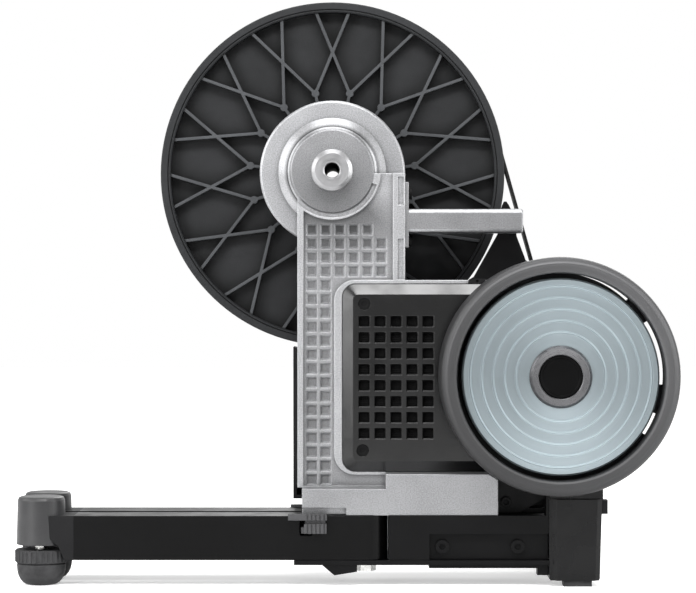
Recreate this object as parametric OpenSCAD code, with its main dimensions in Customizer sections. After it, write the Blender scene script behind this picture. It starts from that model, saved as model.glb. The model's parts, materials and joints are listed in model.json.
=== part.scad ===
/* [Axle and hub] */
// Height of the bicycle axle above the floor
axle_height = 340; // [330:1:360]
// Overall width between the two frame faces of the axle
hub_width = 142; // [140:1:148]
// Radius of the hole through the axle
thru_r = 6.1; // [5.9:0.1:6.3]
// Outer radius of the hollow axle
axle_r = 8.5; // [8.2:0.1:9]
// Outer radius of the hub and freehub bearings
hub_bearing_r = 15; // [14:0.5:16]
// Width of each hub bearing
hub_bearing_w = 8; // [6:1:9]
// Outer radius of the hub shell where the wheel sits
hub_r = 24; // [22:0.5:26]
// Radius of the hub shell's bolted flange
hub_flange_r = 33; // [31:0.5:35]
// Outer radius of the freehub body over its splines
freehub_r = 17.2; // [16.5:0.1:17.6]
// Length of the freehub's splined part
freehub_len = 35; // [33:0.5:36]
// Number of splines round the freehub
spline_count = 9; // [7:1:12]
// Radius of the near axle end
axle_end_r = 17.3; // [15:0.1:19]
// Length of the near axle end in front of the head
axle_end_len = 14; // [12:0.5:16]

/* [Pulley wheel] */
// Radius of the pulley wheel over its flanges
wheel_r = 145.7; // [140:0.1:150]
// Width of the pulley wheel
wheel_w = 25; // [23:0.5:27]
// Gap between the centre plane of the hub and the wheel's near face
wheel_near = 3; // [2:0.5:4]
// Depth of the belt groove below the flanges
groove_depth = 4.2; // [3:0.1:5]
// Width of each rim flange
rim_flange_w = 3.5; // [3:0.1:4.5]
// Thickness of the rim below the groove
rim_wall = 4.2; // [3:0.1:6]
// Thickness of the wheel's web
web_t = 3; // [2:0.5:5]
// Height of the ribs on the near side of the web
rib_h = 10; // [6:0.5:11]
// Width of a rib
rib_w = 2.5; // [2:0.1:4]
// Radius at which the ribs branch
node_r = 70; // [62:0.5:76]
// Number of branching points round the wheel
rib_nodes = 15; // [10:1:18]
// Angle from a branching point to the rim end of its ribs
rib_spread = 18; // [12:0.5:22]
// Radius of the small boss at a branching point
node_boss_r = 3.2; // [2:0.1:4.5]
// Width and depth of the groove in the rim's near face
rim_groove = 1; // [0.8:0.1:1.4]
// Outer radius of the wheel's own hub ring
wheel_hub_r = 38; // [36:0.5:46]

/* [Supporting arm] */
// Near face of the arm, in front of the centre plane
arm_near = 56; // [54:0.5:58]
// Far face of the arm, in front of the centre plane
arm_far = 16; // [14:0.5:18]
// Left edge of the arm from the axle
arm_left = 28.7; // [27:0.1:31]
// Right edge of the arm's upper part from the axle
arm_right = 60.3; // [58:0.1:61.2]
// Radius of the silver disc behind the head
back_disc_r = 61.2; // [60.4:0.1:64]
// Thickness of the silver disc behind the head
back_disc_t = 7; // [5:0.5:9]
// Radius of the head at its near face
head_r = 35; // [33:0.1:37]
// Radius at the foot of the head's slope
head_foot_r = 44.9; // [43:0.1:47]
// Length of the head's slope
head_slope = 10; // [9:0.5:14]
// Depth of the recessed panel on the near face
panel_recess = 3; // [2:0.5:4]
// Width of the rim round the recessed panel
panel_rim = 5; // [4:0.1:6.5]
// Height of the base block's top above the floor
block_top = 79.4; // [78:0.1:81]
// Near face of the base block, in front of the centre plane
block_near = 82; // [80:0.5:84]
// Right end of the base block from the axle
block_right = 135.4; // [130:0.1:138]
// Right end of the recessed channel under the cover from the axle
channel_right = 44; // [40:0.5:46]
// Distance of the arm's upper right edge below the axle
step_drop = 1.7; // [1:0.1:3]
// Width of the groove round the foot of the head
head_groove_w = 3.6; // [3:0.1:5]
// Depth of the groove round the foot of the head
head_groove_d = 2.4; // [1.5:0.1:3]
// Depth of the slots beside the arm's right edge
slot_depth = 1.6; // [1:0.1:3]
// Width of the raised lip beside the front cover
lip_w = 6.6; // [5:0.1:8]
// Outer radius of the raised lip's corners
lip_corner = 17; // [14:0.5:19]
// Thickness of the base block's flange over the legs
block_flange_t = 8; // [7:0.5:9]

/* [Pockets] */
// Distance between the centres of two pockets
pocket_pitch = 11.5; // [11:0.1:12]
// Width of a pocket at its mouth
pocket_w = 9.4; // [8:0.1:10]
// Width of a pocket's floor
pocket_floor = 5.8; // [5:0.1:7.4]
// Depth of a pocket
pocket_depth = 2.2; // [2:0.1:4]
// Centre of the first pocket from the axle
pocket_left = 16.9; // [16:0.1:18]
// Distance of the top row's centre below the axle
pocket_drop = 48.3; // [47:0.1:52]

/* [Electronics bay and cover] */
// Left edge of the front cover from the axle
cover_left = 8.6; // [8:0.1:10]
// Gap between the front cover and the bearing tower
cover_gap = 1.4; // [1:0.1:3]
// Height of the cover's lower edge
cover_low = 91.9; // [90:0.1:94]
// Distance of the cover's upper edge below the axle
cover_drop = 93.4; // [93:0.1:97]
// Near face of the cover, in front of the centre plane
cover_near = 60; // [59:0.5:60.5]
// Width of the sloping border of the cover
bezel_w = 8.7; // [7:0.1:10]
// Height of the sloping border of the cover
bezel_h = 3.4; // [3:0.1:3.8]
// Corner radius of the cover
cover_corner = 11; // [8:0.5:13]
// Wall thickness of the cover
cover_wall = 2.5; // [2:0.1:3]
// Distance between the centres of the cover's openings
vent_pitch = 13.2; // [12.8:0.1:13.4]
// Width of an opening in the cover
vent_w = 7.4; // [6.5:0.1:8]
// Width and depth of the slope round an opening
vent_slope = 1.1; // [0.8:0.1:1.4]
// Centre of the first column of openings from the axle
vent_left = 26.5; // [26:0.1:27.5]
// Distance of the top row of openings below the cover's upper edge
vent_drop = 30.9; // [30:0.1:33]
// Distance of the lowest row of openings above the cover's lower edge, at least
vent_low_gap = 31; // [28:0.5:33]
// Number of columns of openings
vent_columns = 5; // [4:1:5]
// Wall thickness of the bay behind the cover
bay_wall = 4; // [3:0.5:4.5]
// Thickness of the circuit board
board_t = 1.6; // [1.2:0.1:2]
// Length of the standoffs behind the circuit board
standoff_len = 11; // [8:0.5:13]
// Left edge of the circuit board from the axle
board_left = 34; // [33:0.5:36]
// Gap between the circuit board and the brake motor
board_gap = 7.4; // [6:0.1:9]
// Left edge of the speed sensor from the axle
sensor_left = 113.5; // [112:0.5:120]
// Width of the speed sensor
sensor_w = 13; // [7:0.5:14]

/* [Handle] */
// Distance of the handle bar's lower edge below the axle
handle_drop = 51; // [48:0.5:53]
// Thickness of the handle bar from bottom to top
handle_t = 20; // [18:0.5:22]
// Depth of the handle bar from front to back
handle_d = 29; // [24:0.5:30]
// Right end of the handle from the axle
handle_right = 158; // [154:0.5:162]
// Thickness of the handle's mounting flange
handle_flange_t = 3; // [3:0.5:5]
// Length of the handle's end let into the arm
handle_seat = 5.8; // [4:0.1:7]
// Radius of the handle bar's long edges
handle_edge_r = 4; // [3:0.5:6]
// Thickness of the black web behind the handle
web_plate_t = 6; // [4:0.5:7]

/* [Flywheel and guard] */
// Flywheel axis to the right of the bicycle axle
fly_x = 183.4; // [181:0.1:186]
// Height of the flywheel axis
fly_z = 171.9; // [170:0.1:174]
// Radius of the flywheel disc
disc_r = 79.2; // [76:0.1:80]
// Near face of the flywheel, in front of the centre plane
disc_near = 119; // [117:0.5:120]
// Width of the flywheel's rim
disc_w = 26; // [22:0.5:26]
// Thickness of the flywheel's web
disc_web_t = 12; // [9:0.5:14]
// Radial width of the flywheel's rim
disc_rim_w = 20; // [18:0.5:22]
// Number of ridges on the flywheel
ridge_count = 5; // [3:1:6]
// Distance from the outermost ridge to the flywheel's edge
ridge_inset = 6.6; // [5:0.1:8]
// Height of a ridge on the flywheel
ridge_h = 0.7; // [0.4:0.1:1]
// Gap between the flywheel and the guard's lip
disc_gap = 4; // [3:0.1:5]
// Outer radius of the guard
guard_r = 96.1; // [95:0.1:97]
// Near face of the guard, in front of the centre plane
guard_near = 125; // [123:0.5:126]
// Far face of the guard, in front of the centre plane
guard_far = 61.5; // [61:0.1:62]
// Wall thickness of the guard's side
guard_wall = 4; // [3:0.5:5]
// Thickness of the guard's back
guard_back_t = 3.5; // [3:0.5:4.5]
// Number of slits in the guard's back
slit_count = 7; // [5:1:8]
// Distance of the slits outside the flywheel's edge
slit_gap = 5.2; // [3:0.1:6]
// Radial width of a slit
slit_w = 4.4; // [3:0.1:5]
// Angle that one slit spans
slit_span = 35.5; // [30:0.5:38]
// Angle that the short slit beside the rear beam spans
slit_short_span = 12.5; // [10:0.5:16]
// Radius of the collar on the flywheel
collar_r = 25.2; // [24:0.1:26]
// Radius of the black centre cap
cap_r = 17.5; // [16:0.1:18.5]
// Radius of the flywheel shaft
shaft_r = 7.5; // [7:0.1:8]
// Outer radius of the shaft bearings
shaft_bearing_r = 17.5; // [16.5:0.5:18]
// Width of a shaft bearing
shaft_bearing_w = 11; // [10:0.5:12]
// Radius of the bearing tower on the arm
tower_r = 32; // [30:0.5:34]

/* [Belt drive] */
// Thickness of the belt
belt_t = 2.4; // [2:0.1:3]
// Width of the belt
belt_w = 16; // [14:0.5:17]
// Radius of the small pulley's belt face
small_pulley_r = 10.6; // [10:0.1:13]
// Radius of the tensioner roller
idler_r = 14; // [13:0.5:15]
// Distance of the tensioner axis from the flywheel axis, measured towards the bicycle axle
idler_along = 37; // [34:0.5:40]
// Distance of the tensioner axis from the line between the flywheel and bicycle axles
idler_side = 46; // [44:0.5:48]
// Radius of the tensioner bolt
idler_bolt_r = 4; // [3.5:0.5:5]
// Wall thickness of the belt guard
belt_guard_wall = 3; // [2.5:0.5:4]
// Far face of the belt guard behind the centre plane
belt_guard_far = 29; // [28:0.5:30]
// Gap round the pulley wheel left by the belt guard
belt_guard_gap = 4.3; // [3:0.1:6]

/* [Magnet brake] */
// Gap between the brake motor and the bearing tower
motor_gap = 4; // [3:0.5:5]
// Radius of the brake screw
screw_r = 3; // [2.5:0.1:3.5]
// Side of the square motor
motor_w = 40; // [36:0.5:40]
// Length of the motor
motor_len = 24; // [20:0.5:26]
// Travel of the magnet carrier
magnet_travel = 9; // [8:0.5:9]
// Thickness of the magnet carrier
carrier_t = 6; // [5:0.5:7]
// Radius of a brake magnet
magnet_r = 7.5; // [6:0.5:8]
// Thickness of a brake magnet
magnet_t = 3; // [2:0.5:4]
// Distance of the magnets inside the flywheel's edge
magnet_inset = 9.2; // [8.2:0.1:10.2]
// Radius of the motor's rotor
rotor_r = 11; // [9:0.5:13]

/* [Folding legs] */
// Height and width of a leg tube
leg_w = 36; // [34:0.5:38]
// Wall thickness of a leg tube
leg_wall = 2.5; // [2:0.1:3]
// Height of the leg tube's underside above the floor
leg_low = 21.5; // [20:0.5:23]
// Leg pivots to the right of the bicycle axle
pivot_x = 27.6; // [26:0.1:29]
// Radius of a leg pivot bolt
pivot_r = 5; // [4.5:0.1:6]
// Distance between the two leg pivots
leg_spacing = 46.5; // [46:0.5:48]
// Middle between the two legs, in front of the centre plane
legs_mid = 42.25; // [42:0.25:43]
// Distance from a leg pivot to its foot
leg_length = 266.5; // [250:0.5:280]
// Radius of the latch pin
latch_pin_r = 4; // [3.5:0.1:4.5]
// Distance from a leg pivot to its latch pin
latch_offset = 48.9; // [46:0.1:50]
// Lift of the latch
latch_lift = 4; // [3:0.5:4]

/* [Feet] */
// Radius of the foot cap at its foot
foot_cap_r = 20.3; // [19:0.1:21]
// Height of the foot cap's top above the floor
foot_cap_top = 72.3; // [70:0.1:75]
// Height of the foot cap's underside above the floor
foot_cap_low = 33.2; // [32:0.1:34]
// Radius of the ribbed foot knob
foot_knob_r = 21.6; // [21:0.1:23]
// Thickness of the foot knob
foot_knob_t = 11; // [9:0.5:11.5]
// Radius of the foot pad
foot_pad_r = 20; // [18:0.5:20.5]
// Height of the foot pad
foot_pad_t = 18; // [17:0.5:18.5]
// Radius of the flat on the foot pad
foot_flat_r = 10; // [8:0.5:12]
// Radius of the foot's threaded stud
stud_r = 5; // [4:0.5:6]

/* [Base] */
// Thickness of the plate under the legs
base_plate_t = 3.7; // [3:0.1:4]
// Left end of the base frame from the axle
base_left = 46.5; // [46.3:0.1:48]
// Near face of the base frame, in front of the centre plane
base_near = 83; // [82:0.5:84]
// Wall thickness of the base frame
base_wall = 3; // [2.5:0.5:4]
// Right end of the full-height part of the base frame's face
base_recess_left = 79.4; // [77:0.1:82]
// Height of the base frame's upper band above the floor
base_band_low = 42.7; // [41:0.1:45]
// Depth of the recess below the band
base_recess = 7; // [5:0.5:9]
// Left edge of the rear beam's end caps from the axle
beam_left = 177.1; // [175:0.1:178]
// Width of the rear beam's end caps
beam_cap_w = 43.2; // [43:0.1:47]
// Height of the rear beam's end caps above the floor
beam_cap_top = 71.2; // [69:0.1:73]
// Near end of the rear beam, in front of the centre plane
beam_near = 86; // [84:0.5:88]
// Far end of the rear beam, behind the centre plane
beam_far = 115; // [110:0.5:120]
// Length of an end cap along the beam
beam_cap_len = 22; // [20:0.5:26]
// Side of the rear beam's square tube
beam_w = 40; // [38:0.5:41]
// Height of the rear beam's underside above the floor
beam_low = 22; // [20:0.5:24]
// Wall thickness of the rear beam
beam_wall = 3; // [2.5:0.5:4]
// Height of the rubber pads under the rear beam
pad_t = 4.9; // [4:0.1:6]
// Width of the rubber pads under the rear beam
pad_w = 23; // [20:0.5:28]
// Side of the power inlet
inlet_w = 12; // [10:0.5:13]

/* [Fits] */
// Radial clearance of a shaft that turns in a bore
run_fit = 0.05; // [0.02:0.01:0.08]
// Gap between faces that move past each other
slide_gap = 0.3; // [0.3:0.05:0.4]
// Radius of a small housing screw
screw_shank_r = 2.5; // [2:0.1:3]
// Radius of a small housing screw's head
screw_head_r = 5.1; // [4.5:0.1:5.5]

/* [Hidden] */
$fn = 72;

// Front cover, between the axle and the flywheel's bearing tower
cover_high = axle_height - cover_drop;
cover_right = fly_x - tower_r - cover_gap;
vent_top = cover_high - vent_drop;
vent_rows = floor((vent_top - cover_low - vent_low_gap) / vent_pitch) + 1;

// Positions across the object, measured from the centre plane of the hub
near_end_y = -hub_width / 2;
far_end_y = hub_width / 2;
arm_y0 = -arm_near;
arm_y1 = -arm_far;
panel_y = arm_y0 + panel_recess;
head_y0 = near_end_y + axle_end_len + 1;
wheel_y0 = -wheel_near;
wheel_y1 = wheel_y0 + wheel_w;
web_y0 = wheel_y0 + rib_h + 2;
guard_y0 = -guard_near;
guard_y1 = -guard_far;
disc_y0 = -disc_near;
disc_y1 = disc_y0 + disc_w;
cover_y0 = -cover_near;
back_disc_y1 = arm_y1 + 3;
hub_y0 = back_disc_y1 + 2;
hub_y1 = wheel_y1 + 8;
freehub_y0 = hub_y1 + 1;
freehub_y1 = freehub_y0 + freehub_len;
bay_wall_y0 = arm_y1 - bay_wall;
tower_y0 = guard_y1;
near_leg_y = -legs_mid - leg_spacing / 2;
origin_x = (fly_x + guard_r - (leg_length - pivot_x) - foot_knob_r) / 2;
origin_y = (beam_far - guard_near) / 2;

// Heights above the floor
leg_top = leg_low + leg_w;
base_top = leg_top + slide_gap;
plate_top = leg_low - slide_gap;
plate_low = plate_top - base_plate_t;
bay_top = cover_high + slide_gap + 3;
bay_low = cover_low - 8;
pocket_top = axle_height - pocket_drop;
pocket_rows = floor((pocket_top - block_top - 5) / pocket_pitch) + 1;
handle_low = axle_height - handle_drop;
foot_x = pivot_x - leg_length;
latch_x = pivot_x - latch_offset;

// Belt path, seen from the near side, on the belt's middle line
wheel_groove_r = wheel_r - groove_depth;
belt_gap = slide_gap;
wheel_belt_r = wheel_groove_r + belt_gap + belt_t / 2;
pulley_belt_r = small_pulley_r + belt_gap + belt_t / 2;
idler_belt_r = idler_r + belt_gap + belt_t / 2;
belt_y0 = wheel_y0 + (wheel_w - belt_w) / 2;
belt_y1 = belt_y0 + belt_w;
axle_point = [0, axle_height];
fly_point = [fly_x, fly_z];
drive_line = (axle_point - fly_point) / norm(axle_point - fly_point);
idler_point = fly_point + idler_along * drive_line + idler_side * [-drive_line[1], drive_line[0]];
function heading(v) = atan2(v[1], v[0]);
function polar(r, a) = [r * cos(a), r * sin(a)];
tight_angle = heading(fly_point - axle_point)
    + acos((wheel_belt_r - pulley_belt_r) / norm(fly_point - axle_point));
pulley_exit = heading(idler_point - fly_point)
    + acos((pulley_belt_r + idler_belt_r) / norm(idler_point - fly_point));
idler_exit = heading(idler_point - axle_point)
    - acos((idler_belt_r + wheel_belt_r) / norm(idler_point - axle_point));
function arc(c, r, a0, a1, n) = [for (i = [0:n]) c + polar(r, a0 + (a1 - a0) * i / n)];
function belt_line(s) = concat(
    arc(axle_point, wheel_belt_r + s * belt_t / 2, tight_angle, 360 + slack_angle, 72),
    arc(idler_point, idler_belt_r - s * belt_t / 2, slack_angle + 180, belt_turn(pulley_exit) + 180, 8),
    arc(fly_point, pulley_belt_r + s * belt_t / 2, belt_turn(pulley_exit), tight_angle, 20));
function belt_turn(a) = a > 0 ? a - 360 : a;
slack_angle = belt_turn(idler_exit);

// Brake screw position
screw_offset = tower_r + motor_w / 2 + motor_gap;
magnet_ring_r = disc_r - magnet_inset;
brake_x = fly_x - screw_offset;
board_w = brake_x - motor_w / 2 - board_gap - board_left;
brake_gap = 2.5;
carrier_y0 = disc_y1 + brake_gap + magnet_t + magnet_travel;
carrier_y1 = carrier_y0 + carrier_t;
motor_y1 = bay_wall_y0;
motor_y0 = motor_y1 - motor_len;
motor_plate = 5;
rotor_y0 = motor_y0 + motor_plate + 1;
rotor_y1 = motor_y1 - motor_plate - 1;
rod_spread = 20;
rod_r = 3;
screw_end_y = disc_y1 + 2;

// Depth of the sensor's seat, and height of the latch's bar above the leg's underside
sensor_seat = 5;
latch_bar_low = 22;

module placed() translate([-origin_x, -origin_y, 0]) children();

module block(x0, x1, y0, y1, z0, z1) translate([x0, y0, z0]) cube([x1 - x0, y1 - y0, z1 - z0]);

module rod_y(p, r, y0, y1) translate([p[0], y0, p[1]]) rotate([-90, 0, 0]) cylinder(r = r, h = y1 - y0);

module rod_z(x, y, r, z0, z1) translate([x, y, z0]) cylinder(r = r, h = z1 - z0);

module rod_x(y, z, r, x0, x1) translate([x0, y, z]) rotate([0, 90, 0]) cylinder(r = r, h = x1 - x0);

// Outline in the side view, extruded from y0 to y1
module side_cut(y0, y1) translate([0, y1, 0]) rotate([90, 0, 0]) linear_extrude(y1 - y0) children();

// Profile of radius and depth, turned about an axis across the object
module turned(p) translate([p[0], 0, p[1]]) rotate([-90, 0, 0]) rotate_extrude($fn = 144) children();

module ring_y(p, r_in, r_out, y0, y1) turned(p) translate([r_in, y0]) square([r_out - r_in, y1 - y0]);

module hex_y(p, r, y0, y1) translate([p[0], y0, p[1]]) rotate([-90, 0, 0])
    cylinder(r = r, h = y1 - y0, $fn = 6);

module rounded_box_2d(x0, x1, z0, z1, r) {
    translate([x0 + r, z0]) square([x1 - x0 - 2 * r, z1 - z0]);
    translate([x0, z0 + r]) square([x1 - x0, z1 - z0 - 2 * r]);
    for (x = [x0 + r, x1 - r])
        for (z = [z0 + r, z1 - r])
            translate([x, z]) circle(r);
}

// The same shape on the far leg, reflected in the plane between the legs
module far_side() translate([0, -2 * legs_mid, 0]) mirror([0, 1, 0]) children();

// Supporting arm

bearing_seats = [[tower_y0, tower_y0 + shaft_bearing_w],
    [arm_y1 - shaft_bearing_w, arm_y1]];

function pocket_columns(row) = row == 0 ? 5
    : pocket_top - row * pocket_pitch - pocket_w / 2 > bay_top ? 6 : 2;

module pocket_grid() {
    for (row = [0:pocket_rows - 1])
        for (column = [0:pocket_columns(row) - 1])
            translate([column * pocket_pitch - pocket_left, panel_y - 0.01,
                pocket_top - row * pocket_pitch])
                rotate([-90, 0, 0])
                    linear_extrude(height = pocket_depth, scale = pocket_floor / pocket_w)
                        square(pocket_w, center = true);
}

bridge_t = 11;
panel_low = block_top + 0.5;
panel_left = -arm_left + panel_rim;
panel_right = arm_right - 2 * panel_rim;
head_groove_r = head_r + head_groove_w;
module panel_2d() difference() {
    union() {
        translate([panel_left, panel_low]) square([cover_left - panel_left, axle_height - panel_low]);
        translate([panel_left, cover_high]) square([panel_right - panel_left, axle_height - cover_high]);
        translate([panel_left, panel_low]) square([channel_right - panel_left, cover_low - panel_low]);
    }
    // Raised lip round the front cover
    rounded_box_2d(cover_left - lip_w - slide_gap, cover_right + lip_corner, cover_low - 3, bay_top,
        lip_corner);
    translate(axle_point) circle(head_groove_r + 1.7);
}

// Hollow cells behind the near wall of the arm, between its ribs
arm_cell_y0 = panel_y + pocket_depth + 4;
cell_count = 4;
cell_rib = 4;
cell_h = (bay_top - bay_low - 14) / cell_count - cell_rib;
upper_cell_w = (arm_left + arm_right - 3 * cell_rib) / 2 - 1.5;
upper_cell_h = (axle_height - head_foot_r - bay_top) * 0.64;
module arm_cells_2d() difference() {
    union() {
        for (i = [0:cell_count - 1])
            translate([-arm_left + panel_rim, bay_low + 2 + i * (cell_h + cell_rib)])
                square([cover_left + arm_left - 2 * panel_rim, cell_h]);
        for (i = [0:1])
            translate([-arm_left + panel_rim + i * (upper_cell_w + cell_rib), bay_top + 3])
                square([upper_cell_w, upper_cell_h]);
    }
    for (p = guard_screw_points())
        translate(p) circle(screw_head_r + 1.5);
}

slope_y0 = arm_y0 + head_groove_d + 0.5;
module arm_head() {
    turned(axle_point) polygon([[axle_r, head_y0], [head_r - 1.2, head_y0], [head_r, head_y0 + 1.2],
        [head_r, slope_y0], [head_foot_r, slope_y0 + head_slope], [head_foot_r, back_disc_y1 - back_disc_t],
        [back_disc_r - 1.5, back_disc_y1 - back_disc_t],
        [back_disc_r, back_disc_y1 - back_disc_t + 1.5], [back_disc_r, back_disc_y1],
        [axle_r, back_disc_y1]]);
}

module arm_body() {
    side_cut(arm_y0, arm_y1) difference() {
        translate([-arm_left, block_top - 1])
            square([arm_left + arm_right, axle_height - step_drop - block_top + 1]);
        translate(axle_point) circle(head_groove_r);
        rounded_box_2d(cover_left - slide_gap, cover_right + arm_right, cover_low - slide_gap,
            cover_high + slide_gap, cover_corner);
    }
    // Floor of the groove under the head
    side_cut(arm_y0 + head_groove_d, arm_y1) intersection() {
        translate(axle_point) difference() {
            circle(head_groove_r + 0.1);
            circle(head_r - 8);
        }
        translate([-arm_left, block_top]) square([arm_left + arm_right, axle_height - step_drop - block_top]);
    }
    // Bridge from the head to the arm, right of the groove
    side_cut(arm_y0, arm_y0 + bridge_t)
        polygon(concat(arc(axle_point, head_r - 2, -17, -3, 6),
            arc(axle_point, head_groove_r + 3, -3, -17, 6)));
    block(cover_left + cover_corner, cover_right + 1, arm_y0, arm_y1, block_top - 1, cover_low - slide_gap);
    block(cover_left + cover_corner, sensor_left - 1, arm_y0, arm_y1, bay_top - 3, bay_top);
    block(sensor_left - 2, cover_right + 1, arm_y0 + sensor_seat, arm_y1, bay_top - 3, bay_top);
    block(cover_left - 1, cover_right + 1, bay_wall_y0, arm_y1, bay_low, bay_top);
    block(cover_right + slide_gap, cover_right + 3.3, tower_y0 + 8, arm_y1, bay_low, bay_top);
    rod_y(fly_point, tower_r, tower_y0, arm_y1);
    side_cut(arm_y1 - 10, arm_y1)
        polygon([[cover_right, bay_low], [cover_right, bay_top], [fly_x + 8, fly_z + tower_r],
            [fly_x + 8, fly_z - tower_r]]);
}

block_left = -arm_left + 4.3;
module base_block() difference() {
    union() {
        block(block_left, block_right, -block_near, arm_y1, base_top + block_flange_t, block_top);
        block(block_left, block_right, -block_near, 0, base_top, base_top + block_flange_t);
        block(channel_right, block_right, -block_near, arm_y0 + 1, block_top - 1, cover_low - 0.5);
    }
    // Clearance round the guard
    rod_y(fly_point, guard_r + 1.5, -block_near - 1, guard_y1 + 0.5);
}

module support_arm() placed() color("#b9babc") difference() {
    union() {
        arm_head();
        arm_body();
        base_block();
        for (p = board_points())
            rod_y(p, 4, bay_wall_y0 - standoff_len, bay_wall_y0);
        for (p = cover_screw_points())
            rod_y(p, screw_shank_r + 3, cover_y0 + bezel_h, bay_wall_y0);
    }
    side_cut(arm_y0 - 1, panel_y) panel_2d();
    side_cut(arm_cell_y0, arm_y1 + 1) arm_cells_2d();
    pocket_grid();
    rod_y(axle_point, axle_r, near_end_y, arm_y1 + 5);
    for (seat = bearing_seats)
        rod_y(fly_point, shaft_bearing_r, seat[0] - 0.01, seat[1] + 0.01);
    rod_y(fly_point, shaft_bearing_r - 3, tower_y0, arm_y1);
    for (y = [near_leg_y, near_leg_y + leg_spacing])
        rod_z(pivot_x, y, pivot_r, base_top - 1, base_top + block_flange_t + 0.1);
    // Notch above the latch
    block(-arm_left, pivot_x - 16, -block_near - 1, -block_near + 8, base_top - 1, base_top + 6);
    // Slots beside the right edge, above and below the handle
    block(arm_right - 6, arm_right - 1.2, arm_y0 - 1, arm_y0 + slot_depth, handle_low + handle_t + 3,
        axle_height - step_drop - 3);
    block(arm_right - 6, arm_right - 1.2, arm_y0 - 1, arm_y0 + slot_depth, bay_top + 0.5, handle_low - 5);
    handle_bar(slide_gap);
    for (a = [45:90:315])
        rod_y(fly_point + polar(tower_r - 6, a), screw_shank_r, tower_y0 - 1, tower_y0 + 9);
    for (p = cover_screw_points())
        rod_y(p, screw_shank_r, cover_y0, bay_wall_y0 + 1);
    for (p = guard_screw_points())
        rod_y(p, screw_shank_r, arm_y1 - 8, arm_y1 + 1);
    for (z = handle_screw_heights())
        rod_x(handle_y, z, screw_shank_r, arm_right - 9, arm_right + 1);
    rod_y(idler_foot(), screw_shank_r + 1, arm_y1 - 3, arm_y1 + 1);
    rod_y(idler_point, idler_bolt_r, arm_y1 - 3, arm_y1 + 1);
}

// Cover and electronics

board_low = cover_low + 12;
board_high = cover_high - 12;
function board_points() = [for (x = [board_left + 6, board_left + board_w - 6])
    for (z = [board_low + 8, board_high - 8]) [x, z]];

function cover_screw_points() = [[26.6, cover_high - 16.4], [25.3, cover_low + 17.5],
    [cover_right - 16, cover_high - 16.4], [cover_right - 16, cover_low + 17.5]];

module cover_outline(inset) rounded_box_2d(cover_left + inset, cover_right - inset,
    cover_low + inset, cover_high - inset, max(1, cover_corner - inset * 0.75));

module vent_places() {
    for (column = [0:vent_columns - 1])
        for (row = [0:vent_rows - 1])
            translate([vent_left + column * vent_pitch, 0, vent_top - row * vent_pitch]) children();
}

cover_screw_seat = 2.4;
module front_cover() placed() color("#262628") difference() {
    union() {
        side_cut(cover_y0 + bezel_h, arm_y0 + cover_wall) cover_outline(0);
        hull() {
            side_cut(cover_y0 + bezel_h - 0.01, cover_y0 + bezel_h) cover_outline(0);
            side_cut(cover_y0, cover_y0 + 0.01) cover_outline(bezel_w);
        }
    }
    side_cut(cover_y0 + bezel_h, arm_y0 + cover_wall + 1) cover_outline(cover_wall);
    vent_places() block(-vent_w / 2, vent_w / 2, cover_y0 - 2, cover_y0 + 6, -vent_w / 2, vent_w / 2);
    vent_places()
        translate([0, cover_y0 - 0.01, 0]) rotate([-90, 0, 0])
            linear_extrude(height = vent_slope, scale = vent_w / (vent_w + 2 * vent_slope))
                square(vent_w + 2 * vent_slope, center = true);
    for (p = cover_screw_points()) {
        rod_y(p, screw_shank_r, cover_y0 - 1, arm_y1);
        rod_y(p, screw_head_r, cover_y0 - 1, cover_y0 + cover_screw_seat);
    }
    rod_y([brake_x, fly_z], screw_r + 3, cover_y0 - 1, arm_y1);
}

module socket_screw(p, y_head, shank, head_r, head_h) difference() {
    union() {
        rod_y(p, head_r, y_head, y_head + head_h);
        rod_y(p, screw_shank_r, y_head + head_h, y_head + head_h + shank);
    }
    hex_y(p, head_r * 0.5, y_head - 1, y_head + head_h * 0.6);
}

module housing_screws() placed() color("#1b1b1c") {
    for (p = cover_screw_points())
        socket_screw(p, cover_y0 + cover_screw_seat - 1.5, 19, screw_head_r, 1.5);
    for (a = [45:90:315])
        socket_screw(fly_point + polar(tower_r - 6, a), guard_y1 - guard_back_t - 3, guard_back_t + 7,
            screw_head_r, 3);
    for (z = handle_screw_heights())
        translate([arm_right + handle_flange_t + 3, handle_y, z]) rotate([0, 0, 90])
            socket_screw([0, 0], 0, handle_flange_t + 8, screw_head_r, 3);
    // The screw of the web behind the handle comes from the far side
    translate([0, 2 * web_y1, 0]) mirror([0, 1, 0])
        socket_screw(web_screw_point(), web_y1 - 1.6, web_plate_t + 8, screw_head_r, 1.6);
}

// Chip, power stage, connector and header on the board: distance from its left edge, share of its
// height, width, height and depth of each
board_blocks = [[24, 0.2, 20, 20, 6], [22, 0.55, 30, 14, 9], [4, 0.63, 14, 18, 4], [26, 0.77, 28, 8, 3]];

module circuit_board() placed() color("#1f5a3a") {
    board_y1 = bay_wall_y0 - standoff_len;
    difference() {
        union() {
            block(board_left, board_left + board_w, board_y1 - board_t, board_y1, board_low, board_high);
            for (i = [0:2])
                rod_y([board_left + 8, board_low + 16 + i * 18], 6, board_y1 - board_t - 12,
                    board_y1 - board_t);
            for (b = board_blocks)
                translate([board_left + b[0], board_y1 - board_t - b[4],
                    board_low + b[1] * (board_high - board_low)])
                    cube([b[2], b[4] + 0.1, b[3]]);
        }
        for (p = board_points())
            rod_y(p, 1.6, board_y1 - 5, board_y1 + 1);
    }
}

module speed_sensor() placed() color("#202022")
    difference() {
        block(sensor_left, sensor_left + sensor_w, arm_y0 - 1, arm_y0 + sensor_seat, bay_top - 3,
            bay_top + 1);
        rod_y([sensor_left + sensor_w / 2, bay_top - 1], 1.2, arm_y0 - 2, arm_y0 + 1);
    }

// Handle and its web

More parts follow.
